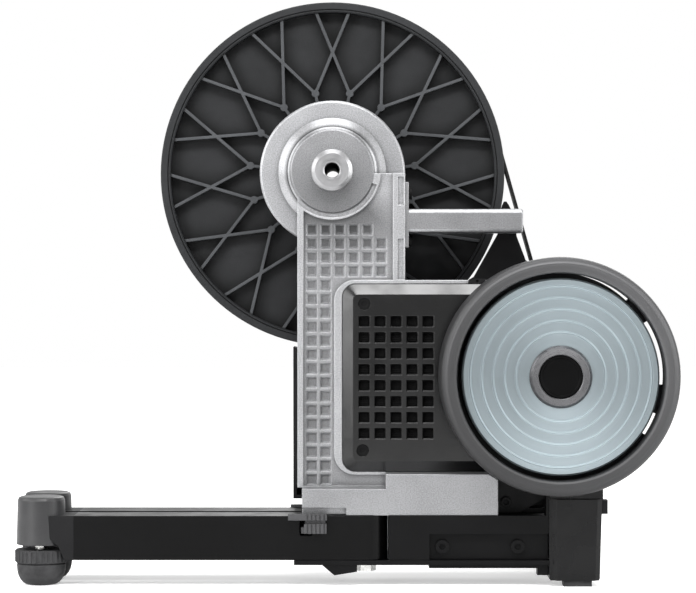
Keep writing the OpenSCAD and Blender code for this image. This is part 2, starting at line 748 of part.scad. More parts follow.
handle_y0 = -arm_far - 8 - handle_d;
handle_y1 = -arm_far - 8;
handle_y = (handle_y0 + handle_y1) / 2;
handle_mid = handle_low + handle_t / 2;
web_y1 = handle_y1 + web_plate_t;
function handle_screw_heights() = [handle_low - 6.4, handle_low + handle_t + 13];
web_tip_x = handle_right - 12.9;
function web_screw_point() = [web_tip_x, handle_mid];

module handle_bar(grow) hull()
    for (y = [handle_y0 + handle_edge_r, handle_y1 - handle_edge_r])
        for (z = [handle_low + handle_edge_r, handle_low + handle_t - handle_edge_r]) {
            rod_x(y, z, handle_edge_r + grow, arm_right - handle_seat - grow, handle_right - 1, $fn = 32);
            rod_x(y, z, handle_edge_r + grow - 1, handle_right - 1, handle_right, $fn = 32);
        }

module handle() placed() color("#b9babc") difference() {
    union() {
        block(arm_right, arm_right + handle_flange_t, handle_y0, handle_y1,
            handle_low - 12, handle_low + handle_t + 22);
        handle_bar(0);
    }
    for (z = handle_screw_heights())
        rod_x(handle_y, z, screw_shank_r, arm_right - 1, arm_right + 20);
    rod_y(web_screw_point(), screw_shank_r, handle_y1 - 9, handle_y1 + 1);
}

module rear_web() placed() color("#222224") difference() {
    side_cut(handle_y1, web_y1)
        polygon([[web_tip_x - 31, bay_top], [cover_right + 1, bay_top],
            [handle_right + 4, bay_top + 0.45 * (handle_low - bay_top)],
            [web_tip_x + 9.6, handle_low - 2.3], [web_tip_x + 6.4, handle_low + handle_t - 3],
            [web_tip_x + 3, handle_low + handle_t + 4], [web_tip_x + 1, handle_low + handle_t + 7],
            [web_tip_x - 1, handle_low + handle_t + 7], [web_tip_x - 2.4, handle_low + handle_t + 4],
            [web_tip_x - 4.8, handle_low + handle_t - 3], [web_tip_x - 6.1, handle_low],
            [web_tip_x - 26.3, bay_top + 3]]);
    rod_y(web_screw_point(), screw_shank_r, handle_y1 - 1, web_y1 + 1);
}

// Flywheel, its guard and its shaft

module guard_pan() placed() color("#4c4d4f") difference() {
    turned(fly_point) polygon(concat([[shaft_r + 4, guard_y1], [shaft_r + 4, guard_y1 - guard_back_t],
        [guard_r - guard_wall - 2, guard_y1 - guard_back_t],
        [guard_r - guard_wall - 1, guard_y1 - guard_back_t - 1],
        [guard_r - guard_wall - 1, disc_y1 - 6], [disc_r + disc_gap, disc_y1 - 14],
        [disc_r + disc_gap, guard_y0 + 2.5], [disc_r + disc_gap + 0.7, guard_y0 + 0.7],
        [disc_r + disc_gap + 2.4, guard_y0]],
        [for (a = [0:15:90]) [guard_r - 7 + 7 * sin(a), guard_y0 + 7 - 7 * cos(a)]],
        [[guard_r, guard_y1 - 1.5], [guard_r - 1.5, guard_y1]]));
    // Slits all round, except above the rear beam; the first is short
    for (i = [0:slit_count - 2])
        translate([fly_x, 0, fly_z]) rotate([0, (2 - i) * 360 / slit_count - 64 - slit_span / 2, 0])
            rotate([-90, 0, 0]) translate([0, 0, guard_y1 - guard_back_t - 1])
                rotate_extrude(angle = i == 0 ? slit_short_span : slit_span, $fn = 144)
                    translate([disc_r + slit_gap, 0]) square([slit_w, guard_back_t + 2]);
    for (a = [45:90:315])
        rod_y(fly_point + polar(tower_r - 6, a), screw_shank_r, guard_y1 - 9, guard_y1 + 1);
    rod_y([brake_x, fly_z], screw_r + 2, guard_y1 - 9, guard_y1 + 1);
    for (a = [-rod_spread, rod_spread])
        rod_y(fly_point + polar(screw_offset, 180 + a), rod_r, guard_y1 - 9, guard_y1 + 1);
}

ridge_start = 1.4;
ridge_pitch = (disc_r - ridge_inset - collar_r - ridge_start) / ridge_count;
function ridge_profile(r) = [[r - 0.9, disc_y0], [r - 0.35, disc_y0 - ridge_h],
    [r + 0.35, disc_y0 - ridge_h], [r + 0.9, disc_y0]];

module flywheel() placed() color("#a4abb1")
    turned(fly_point) polygon(concat([[shaft_r, disc_y0 + 1.5], [collar_r, disc_y0 + 1.5],
        [collar_r, disc_y0]],
        [for (i = [1:ridge_count]) each ridge_profile(collar_r + ridge_start + i * ridge_pitch)],
        [[disc_r - 1.4, disc_y0], [disc_r, disc_y0 + 1.4], [disc_r, disc_y1 - 1],
        [disc_r - 1, disc_y1], [disc_r - disc_rim_w, disc_y1],
        [disc_r - disc_rim_w - 2, disc_y0 + disc_web_t],
        [shaft_r + 10, disc_y0 + disc_web_t], [shaft_r + 8, disc_y1 - 2], [shaft_r, disc_y1 - 2]]));

module flywheel_collar() placed() color("#77787a")
    turned(fly_point) polygon([[cap_r, disc_y0 + 1.5], [cap_r, disc_y0 - 2.2], [cap_r + 0.8, disc_y0 - 3],
        [collar_r - 2, disc_y0 - 3], [collar_r - 0.05, disc_y0 - 1], [collar_r - 0.05, disc_y0 + 1.5]]);

module flywheel_cap() placed() color("#161617")
    turned(fly_point) polygon([[0, disc_y0 - 1.6], [cap_r - 3, disc_y0 - 1.6], [cap_r - 2.2, disc_y0 - 2.4],
        [cap_r - 0.8, disc_y0 - 2.4], [cap_r - 0.1, disc_y0 - 1.7], [cap_r - 0.1, disc_y0 + 1.5],
        [0, disc_y0 + 1.5]]);

module flywheel_shaft() placed() color("#8d8f92") {
    rod_y(fly_point, shaft_r, disc_y0 + 1.6, wheel_y1 + 2);
}

module bearing(p, r_in, r_out, y0, y1) turned(p) polygon([[r_in, y0], [r_in + 1.8, y0],
    [r_in + 2, y0 + 0.6], [r_out - 2, y0 + 0.6], [r_out - 1.8, y0], [r_out, y0], [r_out, y1],
    [r_out - 1.8, y1], [r_out - 2, y1 - 0.6], [r_in + 2, y1 - 0.6], [r_in + 1.8, y1], [r_in, y1]]);

module shaft_bearings() placed() color("#9a9c9f") {
    for (seat = bearing_seats)
        bearing(fly_point, shaft_r + run_fit, shaft_bearing_r, seat[0], seat[1]);
    bearing(idler_point, idler_bolt_r, idler_r - 5 - run_fit, belt_y0 + 3, belt_y1 - 3);
}

module small_pulley() placed() color("#5a5b5d")
    turned(fly_point) polygon([[shaft_r, wheel_y0 + 1.5], [small_pulley_r + 4.5, wheel_y0 + 1.5],
        [small_pulley_r + 4.5, wheel_y0 + 3], [small_pulley_r, wheel_y0 + 3.6],
        [small_pulley_r, wheel_y1 - 3.6], [small_pulley_r + 4.5, wheel_y1 - 3],
        [small_pulley_r + 4.5, wheel_y1 - 1.5], [shaft_r, wheel_y1 - 1.5]]);

// Belt and tensioner

module drive_belt() placed() color("#131313")
    side_cut(belt_y0, belt_y1) difference() {
        polygon(belt_line(1));
        polygon(belt_line(-1));
    }

function idler_foot() = idler_point + [4, -36];

module idler_arm() placed() color("#3a3b3d") difference() {
    union() {
        rod_y(idler_point, 12, arm_y1, arm_y1 + 6);
        rod_y(idler_foot(), 10, arm_y1, arm_y1 + 6);
        side_cut(arm_y1, arm_y1 + 6)
            polygon([idler_point + [-10, 1], idler_point + [10, 1], idler_foot() + [8, -1],
                idler_foot() + [-8, -1]]);
    }
    rod_y(idler_point, idler_bolt_r, arm_y1 - 1, arm_y1 + 7);
    rod_y(idler_foot(), screw_shank_r + 1, arm_y1 - 1, arm_y1 + 7);
}

module idler_pulley() placed() color("#8d8f92")
    turned(idler_point) polygon([[idler_r - 5, belt_y0 - 0.5], [idler_r - 1, belt_y0 - 0.5],
        [idler_r, belt_y0 + 0.5], [idler_r, belt_y1 - 0.5], [idler_r - 1, belt_y1 + 0.5],
        [idler_r - 5, belt_y1 + 0.5]]);

module idler_bolt() placed() color("#c3c5c7") {
    rod_y(idler_point, idler_bolt_r, arm_y1 - 3, belt_y1 - 3);
    rod_y(idler_point, idler_bolt_r + 2, arm_y1 + 6, belt_y0 + 3);
    hex_y(idler_point, idler_bolt_r + 3, belt_y1 - 3, belt_y1 + 1.5);
    rod_y(idler_foot(), screw_shank_r + 1, arm_y1 - 3, arm_y1 + 6);
    hex_y(idler_foot(), screw_shank_r + 4, arm_y1 + 6, arm_y1 + 10);
}

// Pulley wheel and hub

module bar_2d(p, q, w) translate(p) rotate(heading(q - p)) translate([0, -w / 2]) square([norm(q - p), w]);

module lattice_2d() intersection() {
    union()
        for (i = [0:rib_nodes - 1]) {
            a = 90 + (i + 0.5) * 360 / rib_nodes;
            translate(polar(node_r, a)) circle(node_boss_r, $fn = 24);
            bar_2d(polar(wheel_hub_r - 2, a), polar(node_r, a), rib_w);
            for (s = [-1, 1])
                bar_2d(polar(node_r, a), polar(wheel_groove_r - 2, a + s * rib_spread), rib_w);
        }
    circle(wheel_groove_r - rim_wall + 1, $fn = 144);
}

rim_groove_r = wheel_groove_r - rim_wall + 2.7;
module pulley_wheel() placed() color("#232324") {
    turned(axle_point) polygon([[hub_r, wheel_y0], [wheel_hub_r, wheel_y0], [wheel_hub_r + 0.6, web_y0],
        [wheel_groove_r - rim_wall, web_y0], [wheel_groove_r - rim_wall, wheel_y0 + 1],
        [wheel_groove_r - rim_wall + 1, wheel_y0], [rim_groove_r - rim_groove, wheel_y0],
        [rim_groove_r - rim_groove, wheel_y0 + rim_groove], [rim_groove_r, wheel_y0 + rim_groove],
        [rim_groove_r, wheel_y0], [wheel_r - 0.8, wheel_y0], [wheel_r, wheel_y0 + 0.8],
        [wheel_r, wheel_y0 + rim_flange_w - 0.6], [wheel_groove_r, wheel_y0 + rim_flange_w],
        [wheel_groove_r, wheel_y1 - rim_flange_w], [wheel_r, wheel_y1 - rim_flange_w + 0.6],
        [wheel_r, wheel_y1 - 0.8], [wheel_r - 0.8, wheel_y1], [wheel_groove_r - rim_wall + 1, wheel_y1],
        [wheel_groove_r - rim_wall, wheel_y1 - 1], [wheel_groove_r - rim_wall, web_y0 + web_t],
        [wheel_hub_r, web_y0 + web_t], [wheel_hub_r, wheel_y1 - 4], [hub_r, wheel_y1 - 4]]);
    translate([0, web_y0 + 0.5, axle_height]) rotate([90, 0, 0]) linear_extrude(rib_h + 0.5) lattice_2d();
    translate([0, wheel_y1 - 2, axle_height]) rotate([90, 0, 0])
        linear_extrude(wheel_y1 - 2 - web_y0 - web_t + 0.5) lattice_2d();
}

function hub_screw_points() = [for (i = [0:4]) axle_point + polar(hub_flange_r - 4.5, 90 + i * 72)];

module hub_shell() placed() color("#a9abad")
    turned(axle_point) polygon([[hub_bearing_r, hub_y0], [hub_r - 1, hub_y0], [hub_r, hub_y0 + 1],
        [hub_r, wheel_y1 - 4], [hub_flange_r, wheel_y1 - 4], [hub_flange_r, wheel_y1 - 0.5],
        [hub_flange_r - 0.5, wheel_y1], [hub_r, wheel_y1], [hub_r, hub_y1 - 1], [hub_r - 1, hub_y1],
        [freehub_r + 3, hub_y1], [freehub_r + 3, hub_y1 - 8], [hub_bearing_r, hub_y1 - 8],
        [hub_bearing_r, hub_y1 - 8 - hub_bearing_w], [hub_bearing_r - 2.5, hub_y1 - 8 - hub_bearing_w],
        [hub_bearing_r - 2.5, hub_y0 + hub_bearing_w], [hub_bearing_r, hub_y0 + hub_bearing_w]]);

module hub_screws() placed() color("#1d1d1e")
    for (p = hub_screw_points()) difference() {
        rod_y(p, 4, wheel_y1, wheel_y1 + 3);
        hex_y(p, 2, wheel_y1 + 1, wheel_y1 + 4);
    }

module hub_bearings() placed() color("#9a9c9f") {
    bearing(axle_point, axle_r + run_fit, hub_bearing_r, hub_y0, hub_y0 + hub_bearing_w);
    bearing(axle_point, axle_r + run_fit, hub_bearing_r, hub_y1 - 8 - hub_bearing_w, hub_y1 - 8);
}

ratchet_teeth = 24;
ratchet_r = freehub_r + 3;
module ratchet_ring() placed() color("#6d6f72")
    side_cut(hub_y1 - 7.8, hub_y1 - 1) translate(axle_point) difference() {
        circle(ratchet_r, $fn = 144);
        polygon([for (i = [0:ratchet_teeth - 1]) each [polar(ratchet_r - 1.2, i * 360 / ratchet_teeth),
            polar(ratchet_r - 2.8, i * 360 / ratchet_teeth + 1)]]);
    }

module freehub_body() placed() color("#8f9194") {
    ring_y(axle_point, hub_bearing_r - 4.5, freehub_r - 3.6, hub_y1 - 7, freehub_y0);
    difference() {
        side_cut(freehub_y0, freehub_y1) translate(axle_point) difference() {
            union() {
                circle(freehub_r - 1.2);
                for (i = [0:spline_count - 1])
                    rotate(i * 360 / spline_count)
                        intersection() {
                            circle(freehub_r);
                            translate([freehub_r - 3, -2]) square([4, 4]);
                        }
            }
            circle(hub_bearing_r - 4.5);
        }
        rod_y(axle_point, freehub_bearing_r, freehub_y0 + 1, freehub_y0 + 8);
        rod_y(axle_point, freehub_bearing_r, freehub_y1 - 7, freehub_y1 + 1);
    }
}

freehub_bearing_r = hub_bearing_r - 2;
module freehub_bearings() placed() color("#9a9c9f") {
    bearing(axle_point, axle_r + run_fit, freehub_bearing_r, freehub_y0 + 1, freehub_y0 + 8);
    bearing(axle_point, axle_r + run_fit, freehub_bearing_r, freehub_y1 - 7, freehub_y1);
}

module freehub_pawls() placed() color("#55575a")
    side_cut(hub_y1 - 6.8, hub_y1 - 1.5) translate(axle_point)
        for (a = [30, 150, 270])
            rotate(a) difference() {
                translate([0, -3]) square([ratchet_r - 3.6, 6]);
                circle(freehub_r - 3.6);
            }

module axle() placed() color("#7e8083")
    ring_y(axle_point, thru_r, axle_r, near_end_y + 9, far_end_y - 3.5);

end_step = 0.3;
module axle_end_left() placed() color("#aeb0b2")
    turned(axle_point) polygon([[thru_r + 1, near_end_y + end_step], [thru_r + 2.2, near_end_y + end_step],
        [thru_r + 2.2, near_end_y + 2.5 * end_step], [thru_r + 2.8, near_end_y + 2.5 * end_step],
        [thru_r + 2.8, near_end_y], [axle_end_r - 3.5, near_end_y], [axle_end_r - 0.6, near_end_y + 2.4],
        [axle_end_r, near_end_y + 3.2], [axle_end_r, head_y0], [axle_r, head_y0],
        [axle_r, near_end_y + 9], [thru_r, near_end_y + 9], [thru_r, near_end_y + 1.1]]);

module axle_end_right() placed() color("#aeb0b2")
    turned(axle_point) polygon([[thru_r + 1.1, far_end_y], [axle_r + 1, far_end_y],
        [axle_r + 2, far_end_y - 1], [axle_r + 2, far_end_y - 4], [axle_r, far_end_y - 4],
        [axle_r, far_end_y - 3.5], [thru_r, far_end_y - 3.5], [thru_r, far_end_y - 1.1]]);

// Belt guard on the drive side

belt_guard_left = arm_left + 4.3;
belt_guard_low = base_top + block_flange_t + slide_gap;
belt_guard_top = axle_height - 60;

module belt_guard_outline() difference() {
    polygon([[-belt_guard_left, belt_guard_low], [block_right - 10, belt_guard_low],
        [fly_x - 22, belt_guard_low + 22], [fly_x + 30, fly_z - 40], [fly_x + 32, fly_z + 30],
        [fly_x + 14, fly_z + 72], [fly_x - 40, belt_guard_top], [-belt_guard_left, belt_guard_top]]);
    translate(axle_point) circle(wheel_r + belt_guard_gap, $fn = 144);
}

module belt_guard_cavity() difference() {
    polygon([[-belt_guard_left + belt_guard_wall, belt_guard_low + belt_guard_wall],
        [block_right - 11, belt_guard_low + belt_guard_wall],
        [fly_x - 23.5, belt_guard_low + 22 + belt_guard_wall],
        [fly_x + 30 - belt_guard_wall, fly_z - 39], [fly_x + 32 - belt_guard_wall, fly_z + 29.5],
        [fly_x + 9, fly_z + 76], [fly_x - 22, fly_z + 84],
        [-belt_guard_left + belt_guard_wall, belt_guard_top]]);
    translate(axle_point) circle(wheel_r + belt_guard_gap + belt_guard_wall, $fn = 144);
}

// The last screw sits below the middle of the belt's slack run
slack_start = axle_point + polar(wheel_belt_r, slack_angle);
slack_end = idler_point + polar(idler_belt_r, slack_angle + 180);
function guard_screw_points() = [[-arm_left + 12, belt_guard_low + 29],
    [-arm_left + 12, axle_height - wheel_r - 19.3], [idler_point[0] - 29, belt_guard_low + 29],
    (slack_start + slack_end) / 2 + polar(18.5, slack_angle)];

module belt_guard() placed() color("#1f1f21") {
    difference() {
        side_cut(arm_y1, belt_guard_far) belt_guard_outline();
        side_cut(arm_y1 - 1, belt_guard_far - belt_guard_wall) belt_guard_cavity();
        // Way out for the belt towards the wheel
        side_cut(belt_y0 - 3, belt_y1 + 3) difference() {
            polygon(belt_line(3.5));
            polygon(belt_line(-3.5));
        }
        for (p = guard_screw_points()) {
            rod_y(p, screw_shank_r, arm_y1 - 1, belt_guard_far + 1);
            rod_y(p, screw_head_r, belt_guard_far - 2, belt_guard_far + 1);
        }
        rod_y(fly_point, 12, belt_guard_far - 1.2, belt_guard_far + 1);
        for (i = [0:5])
            block(10 + i * 13, 16 + i * 13, belt_guard_far - belt_guard_wall - 1, belt_guard_far + 1,
                belt_guard_low + 44, belt_guard_low + 74);
    }
    for (p = guard_screw_points())
        difference() {
            rod_y(p, screw_head_r + 1.5, arm_y1, belt_guard_far - 2);
            rod_y(p, screw_shank_r, arm_y1 - 1, belt_guard_far);
        }
}

module guard_screws() placed() color("#2b2b2d")
    for (p = guard_screw_points()) difference() {
        union() {
            rod_y(p, screw_head_r - 0.2, belt_guard_far - 2, belt_guard_far + 0.8);
            rod_y(p, screw_shank_r, arm_y1 - 7, belt_guard_far - 2);
        }
        hex_y(p, screw_head_r * 0.5, belt_guard_far - 0.9, belt_guard_far + 2);
    }

// Magnet brake

module stepper_motor() placed() color("#2a2b2d") difference() {
    union() {
        block(brake_x - motor_w / 2, brake_x + motor_w / 2, motor_y0 + motor_plate,
            motor_y1 - motor_plate, fly_z - motor_w / 2, fly_z + motor_w / 2);
        side_cut(motor_y0, motor_y0 + motor_plate)
            rounded_box_2d(brake_x - motor_w / 2, brake_x + motor_w / 2, fly_z - motor_w / 2,
                fly_z + motor_w / 2, 4);
        side_cut(motor_y1 - motor_plate, motor_y1)
            rounded_box_2d(brake_x - motor_w / 2, brake_x + motor_w / 2, fly_z - motor_w / 2,
                fly_z + motor_w / 2, 4);
        rod_y([brake_x, fly_z], 11, motor_y0 - 2, motor_y0);
    }
    rod_y([brake_x, fly_z], screw_r + run_fit, motor_y0 - 3, motor_y1 - 1.5);
    rod_y([brake_x, fly_z], rotor_r + slide_gap, rotor_y0 - slide_gap, rotor_y1 + slide_gap);
}

module motor_rotor() placed() color("#6d6f72")
    ring_y([brake_x, fly_z], screw_r, rotor_r, rotor_y0, rotor_y1);

module lead_screw() placed() color("#b4b6b8")
    rod_y([brake_x, fly_z], screw_r, screw_end_y, motor_y1 - 2);

module guide_rods() placed() color("#b4b6b8")
    for (a = [-rod_spread, rod_spread])
        rod_y(fly_point + polar(screw_offset, 180 + a), rod_r, screw_end_y, guard_y1);

module magnet_carrier() placed() color("#303133") difference() {
    translate([fly_x, 0, fly_z]) rotate([0, -180 - 58, 0]) rotate([-90, 0, 0])
        translate([0, 0, carrier_y0])
            rotate_extrude(angle = 116, $fn = 144)
                translate([screw_offset - 9, 0]) square([magnet_ring_r + magnet_r + 2 - screw_offset + 9,
                    carrier_t]);
    rod_y([brake_x, fly_z], screw_r + run_fit, carrier_y0 - 1, carrier_y1 + 1);
    for (a = [-rod_spread, rod_spread])
        rod_y(fly_point + polar(screw_offset, 180 + a), rod_r + run_fit, carrier_y0 - 1, carrier_y1 + 1);
}

module brake_magnets() placed() color("#c9cbcd")
    for (a = [-50, -30, -10, 10, 30, 50])
        rod_y(fly_point + polar(magnet_ring_r, 180 + a), magnet_r, carrier_y0 - magnet_t, carrier_y0);

// Base

module base_frame() placed() color("#1d1d1f") difference() {
    union() {
        block(base_left, beam_left - slide_gap, -base_near, 0, plate_top, base_top);
        block(beam_left - 5, beam_x0, -beam_near + beam_cap_len + 4, 0, plate_top, base_top);
        // Upright flange beside the rear beam
        block(beam_left - 2.4, beam_left - slide_gap, -base_near, -base_near + 18, base_top - 1, flange_top);
    }
    block(base_left + base_wall, beam_left - 6, -base_near + base_recess + base_wall, -base_wall,
        plate_top - 1, base_top - base_wall);
    block(base_recess_left, beam_left + 1, -base_near - 1, -base_near + base_recess,
        plate_top - 1, base_band_low);
    for (p = frame_bolt_points())
        rod_y(p, screw_shank_r, -base_near, -base_near + 20);
}

function frame_bolt_points() = [for (x = [base_recess_left + 10.7, beam_left - 25.4])
    [x, (plate_top + base_band_low) / 2]];
flange_top = fly_z - guard_r - 2.3;

module base_plate() placed() color("#1d1d1f") difference() {
    union() {
        block(latch_x - 9.7, beam_left - slide_gap, -base_near - 1, 0, plate_low, plate_top);
        block(base_recess_left, beam_left - slide_gap, -base_near + 4, -base_near + 30,
            plate_low - 3, plate_low);
        block(beam_left - 9.4, beam_left - slide_gap, -base_near + 4, -base_near + 18, plate_low / 2,
            plate_low - 3);
        side_cut(-base_near, -base_near + 6.5)
            polygon([[latch_x + 13.3, plate_low], [pivot_x - 7.1, plate_low],
                [pivot_x - 7.1, plate_low - 5.5], [latch_x + 23.3, plate_low - 8.5]]);
    }
    for (y = [near_leg_y, near_leg_y + leg_spacing]) {
        rod_z(pivot_x, y, pivot_r, plate_low - 1, plate_top + 1);
        rod_z(latch_x, y, latch_pin_r + 0.6, plate_top - 1.5, plate_top + 1);
    }
}

module frame_bolts() placed() color("#3b3c3e") {
    for (p = frame_bolt_points())
        socket_screw(p, -base_near + base_recess - 4, 6, screw_head_r + 0.5, 4);
    socket_screw(bracket_bolt_point(), bracket_y0 - 4, 8, screw_head_r - 0.7, 4);
}

bracket_y0 = arm_y0 - 5;
bracket_y1 = arm_y0 + 16;
bracket_x0 = block_right + slide_gap;
bracket_x1 = beam_left - slide_gap;
function bracket_bolt_point() = [block_right + 7.8, base_top + 9.2];

module rear_bracket() placed() color("#1d1d1f") difference() {
    union() {
        side_cut(bracket_y0, arm_y0)
            polygon([[bracket_x0, base_top], [block_right + 19, base_top],
                [bracket_x1, base_top + 13], [bracket_x1, bay_low + 4], [bracket_x0, bay_low + 4]]);
        block(bracket_x0, bracket_x1, arm_y0, bracket_y1, base_top, base_top + 4);
        block(bracket_x0, bracket_x1, bracket_y1 - 4, bracket_y1, base_top, block_top - 1 - slide_gap);
    }
    rod_y(bracket_bolt_point(), screw_shank_r, bracket_y0 - 1, arm_y0 + 6);
}

beam_x0 = beam_left + (beam_cap_w - beam_w) / 2;
module rear_beam() placed() color("#1d1d1f") difference() {
    block(beam_x0, beam_x0 + beam_w, -beam_near + beam_cap_len, beam_far - beam_cap_len, beam_low,
        beam_low + beam_w);
    block(beam_x0 + beam_wall, beam_x0 + beam_w - beam_wall, -beam_near, beam_far,
        beam_low + beam_wall, beam_low + beam_w - beam_wall);
}

beam_right = beam_left + beam_cap_w;
cap_slope = 3;
// Outline of a cap, a little narrower at its foot
module beam_cap_outline(inset_left, inset_right)
    polygon([[beam_left + inset_left + 1, pad_t], [beam_right - inset_right - 3, pad_t],
        [beam_right - inset_right - 2, pad_t + 1.5], [beam_right - inset_right, beam_cap_top],
        [beam_left + inset_left, beam_cap_top], [beam_left + inset_left, pad_t + 1.5]]);

// A cap with its face at y_face, which reaches inward along the beam
module beam_cap(y_face, inward) {
    y_in = y_face + inward * beam_cap_len;
    y_slope = y_face + inward * cap_slope;
    side_cut(min(y_slope, y_in), max(y_slope, y_in)) beam_cap_outline(0, 0);
    hull() {
        side_cut(y_slope, y_slope + 0.01) beam_cap_outline(cap_slope, 0);
        side_cut(min(y_face, y_face + 0.01 * inward), max(y_face, y_face + 0.01 * inward))
            beam_cap_outline(2 * cap_slope, cap_slope + 1);
    }
}

module beam_caps() placed() color("#27282a") difference() {
    union() {
        beam_cap(-beam_near, 1);
        beam_cap(beam_far, -1);
        // Cradle that follows the guard above the near cap
        difference() {
            block(beam_left + 0.5, beam_right + 0.8, -beam_near + cap_slope + 0.6, -beam_near + beam_cap_len,
                beam_cap_top - 1, fly_z - 0.91 * guard_r);
            rod_y(fly_point, guard_r + 1.5, -beam_near, 0);
        }
    }
    inlet_block();
}

module rear_pads() placed() color("#101011")
    for (y = [-beam_near + 2, beam_far - beam_cap_len + 2])
        block(pad_x0, pad_x0 + pad_w, y, y + beam_cap_len - 4, 0, pad_t);

pad_x0 = beam_left + (beam_cap_w - pad_w) / 2 + 1.6;
inlet_x0 = beam_left + beam_cap_w - 7;
inlet_x1 = inlet_x0 + 11.6;
inlet_y0 = -beam_near + 4;
inlet_z1 = beam_cap_top - 0.8;
module inlet_block() block(inlet_x0, inlet_x1, inlet_y0, inlet_y0 + inlet_w, inlet_z1 - inlet_w + 0.6,
    inlet_z1);

module power_inlet() placed() color("#101011") difference() {
    inlet_block();
    rod_x(inlet_y0 + inlet_w / 2, inlet_z1 - (inlet_w - 0.6) / 2, inlet_w * 0.3, inlet_x0 + 2,
        inlet_x1 + 1);
}

module pivot_bolts() placed() color("#c3c5c7")
    for (y = [near_leg_y, near_leg_y + leg_spacing]) {
        rod_z(pivot_x, y, pivot_r, plate_low - 1, base_top + block_flange_t - 0.2);
        translate([pivot_x, y, plate_low - 6]) cylinder(r = pivot_r + 3.5, h = 5, $fn = 6);
        rod_z(pivot_x, y, pivot_r + 5, plate_low - 1, plate_low);
    }

// Folding legs, modelled on the near side and reflected for the far side

module leg_shape() difference() {
    union() {
        difference() {
            union() {
                block(foot_x + foot_cap_r + 8, pivot_x, near_leg_y - leg_w / 2, near_leg_y + leg_w / 2,
                    leg_low, leg_top);
                rod_z(pivot_x, near_leg_y, leg_w / 2, leg_low, leg_top);
            }
            block(foot_x, pivot_x, near_leg_y - leg_w / 2 + leg_wall, near_leg_y + leg_w / 2 - leg_wall,
                leg_low + leg_wall, leg_top - leg_wall);
            rod_z(pivot_x, near_leg_y, leg_w / 2 - leg_wall, leg_low + leg_wall, leg_top - leg_wall);
        }
        rod_z(pivot_x, near_leg_y, pivot_r + 5, leg_low, leg_top);
    }
    rod_z(pivot_x, near_leg_y, pivot_r + run_fit, leg_low - 1, leg_top + 1);
    rod_z(latch_x, near_leg_y, latch_pin_r + 0.1, leg_low - 1, leg_low + leg_wall + 1);
    block(latch_x - 5, latch_x + 5, near_leg_y - leg_w / 2 - 1, near_leg_y - leg_w / 2 + leg_wall + 1,
        leg_low + latch_bar_low - 2, leg_low + latch_bar_low + 5 + latch_lift + 2);
}

module foot_profile(gap) polygon([[0, foot_cap_low], [foot_cap_r + gap, foot_cap_low],
    [foot_cap_r - 1 + gap, foot_cap_top - 3], [foot_cap_r - 2 + gap, foot_cap_top - 0.8],
    [foot_cap_r - 4 + gap, foot_cap_top], [0, foot_cap_top]]);

module at_foot() translate([foot_x, near_leg_y, 0]) children();

module bracket_shape() difference() {
    union() {
        translate([0, near_leg_y + leg_w / 2, 0]) rotate([90, 0, 0]) linear_extrude(leg_w)
            polygon([[foot_x + 8, leg_low + 18], [foot_x + 16, leg_low + 11], [foot_x + 21, leg_low],
                [foot_x + foot_cap_r + 8, leg_low], [foot_x + foot_cap_r + 8, leg_top],
                [foot_x + 8, leg_top]]);
        block(foot_x + foot_cap_r + 7, foot_x + foot_cap_r + 26, near_leg_y - leg_w / 2 + leg_wall,
            near_leg_y + leg_w / 2 - leg_wall, leg_low + leg_wall, leg_top - leg_wall);
    }
    at_foot() rotate_extrude($fn = 144) foot_profile(0);
    at_foot() cylinder(r = foot_knob_r + 1, h = foot_cap_low, $fn = 144);
}

module cap_shape() at_foot() difference() {
    rotate_extrude($fn = 144) foot_profile(0);
    translate([0, 0, foot_cap_low - 1]) cylinder(r = stud_r + run_fit, h = foot_cap_top - foot_cap_low - 6);
}

knob_low = foot_pad_t + slide_gap;
stud_top = foot_cap_top - 10;

module stud_shape() at_foot() translate([0, 0, 8]) cylinder(r = stud_r, h = stud_top - 8);

module knob_shape() at_foot() difference() {
    union() {
        translate([0, 0, knob_low]) cylinder(r = foot_knob_r - 1, h = foot_knob_t - slide_gap);
        for (i = [0:29])
            rotate(i * 12) translate([foot_knob_r - 1.2, 0, knob_low + 0.8])
                cylinder(r = 1.2, h = foot_knob_t - slide_gap - 1.6, $fn = 16);
    }
    translate([0, 0, knob_low - 1]) cylinder(r = stud_r, h = foot_knob_t + 2);
}

module pad_shape() at_foot() difference() {
    rotate_extrude($fn = 144) polygon(concat([[0, 0], [foot_flat_r, 0]],
        [for (a = [15:15:90]) [foot_flat_r + (foot_pad_r - foot_flat_r) * sin(a),
            (foot_pad_t - 3) * (1 - cos(a))]],
        [[foot_pad_r, foot_pad_t - 1], [foot_pad_r - 1, foot_pad_t], [0, foot_pad_t]]));
    translate([0, 0, 7.7]) cylinder(r = stud_r + run_fit, h = foot_pad_t);
}

module latch_shape() {
    front = near_leg_y - leg_w / 2 - 1;
    bar_z = leg_low + latch_bar_low;
    rod_z(latch_x, near_leg_y, latch_pin_r, leg_low, leg_low + 29);
    difference() {
        union() {
            rod_z(latch_x, near_leg_y, latch_pin_r + 3, bar_z, bar_z + 5);
            block(latch_x - 3.7, latch_x + 3.7, front - 2, near_leg_y, bar_z, bar_z + 5);
            block(latch_x - 1.3, latch_x + 17, front - 5, front, bar_z, bar_z + 8);
            block(latch_x - 0.5, latch_x + 16, front - 3.5, front, bar_z + 8, bar_z + 11);
            block(latch_x - 14.3, latch_x + 17.3, front - 7, front, bar_z + 11, bar_z + 16);
        }
        rod_z(latch_x, near_leg_y, latch_pin_r, leg_low + 20, leg_low + 29);
        for (i = [0:4])
            block(latch_x + 1 + i * 3.4, latch_x + 2.2 + i * 3.4, front - 6, front - 4.2,
                bar_z - 1, bar_z + 9);
        for (i = [0:4])
            block(latch_x + 1 + i * 3.4, latch_x + 2.2 + i * 3.4, front - 8, front - 6.2,
                bar_z + 10, bar_z + 17);
    }
}

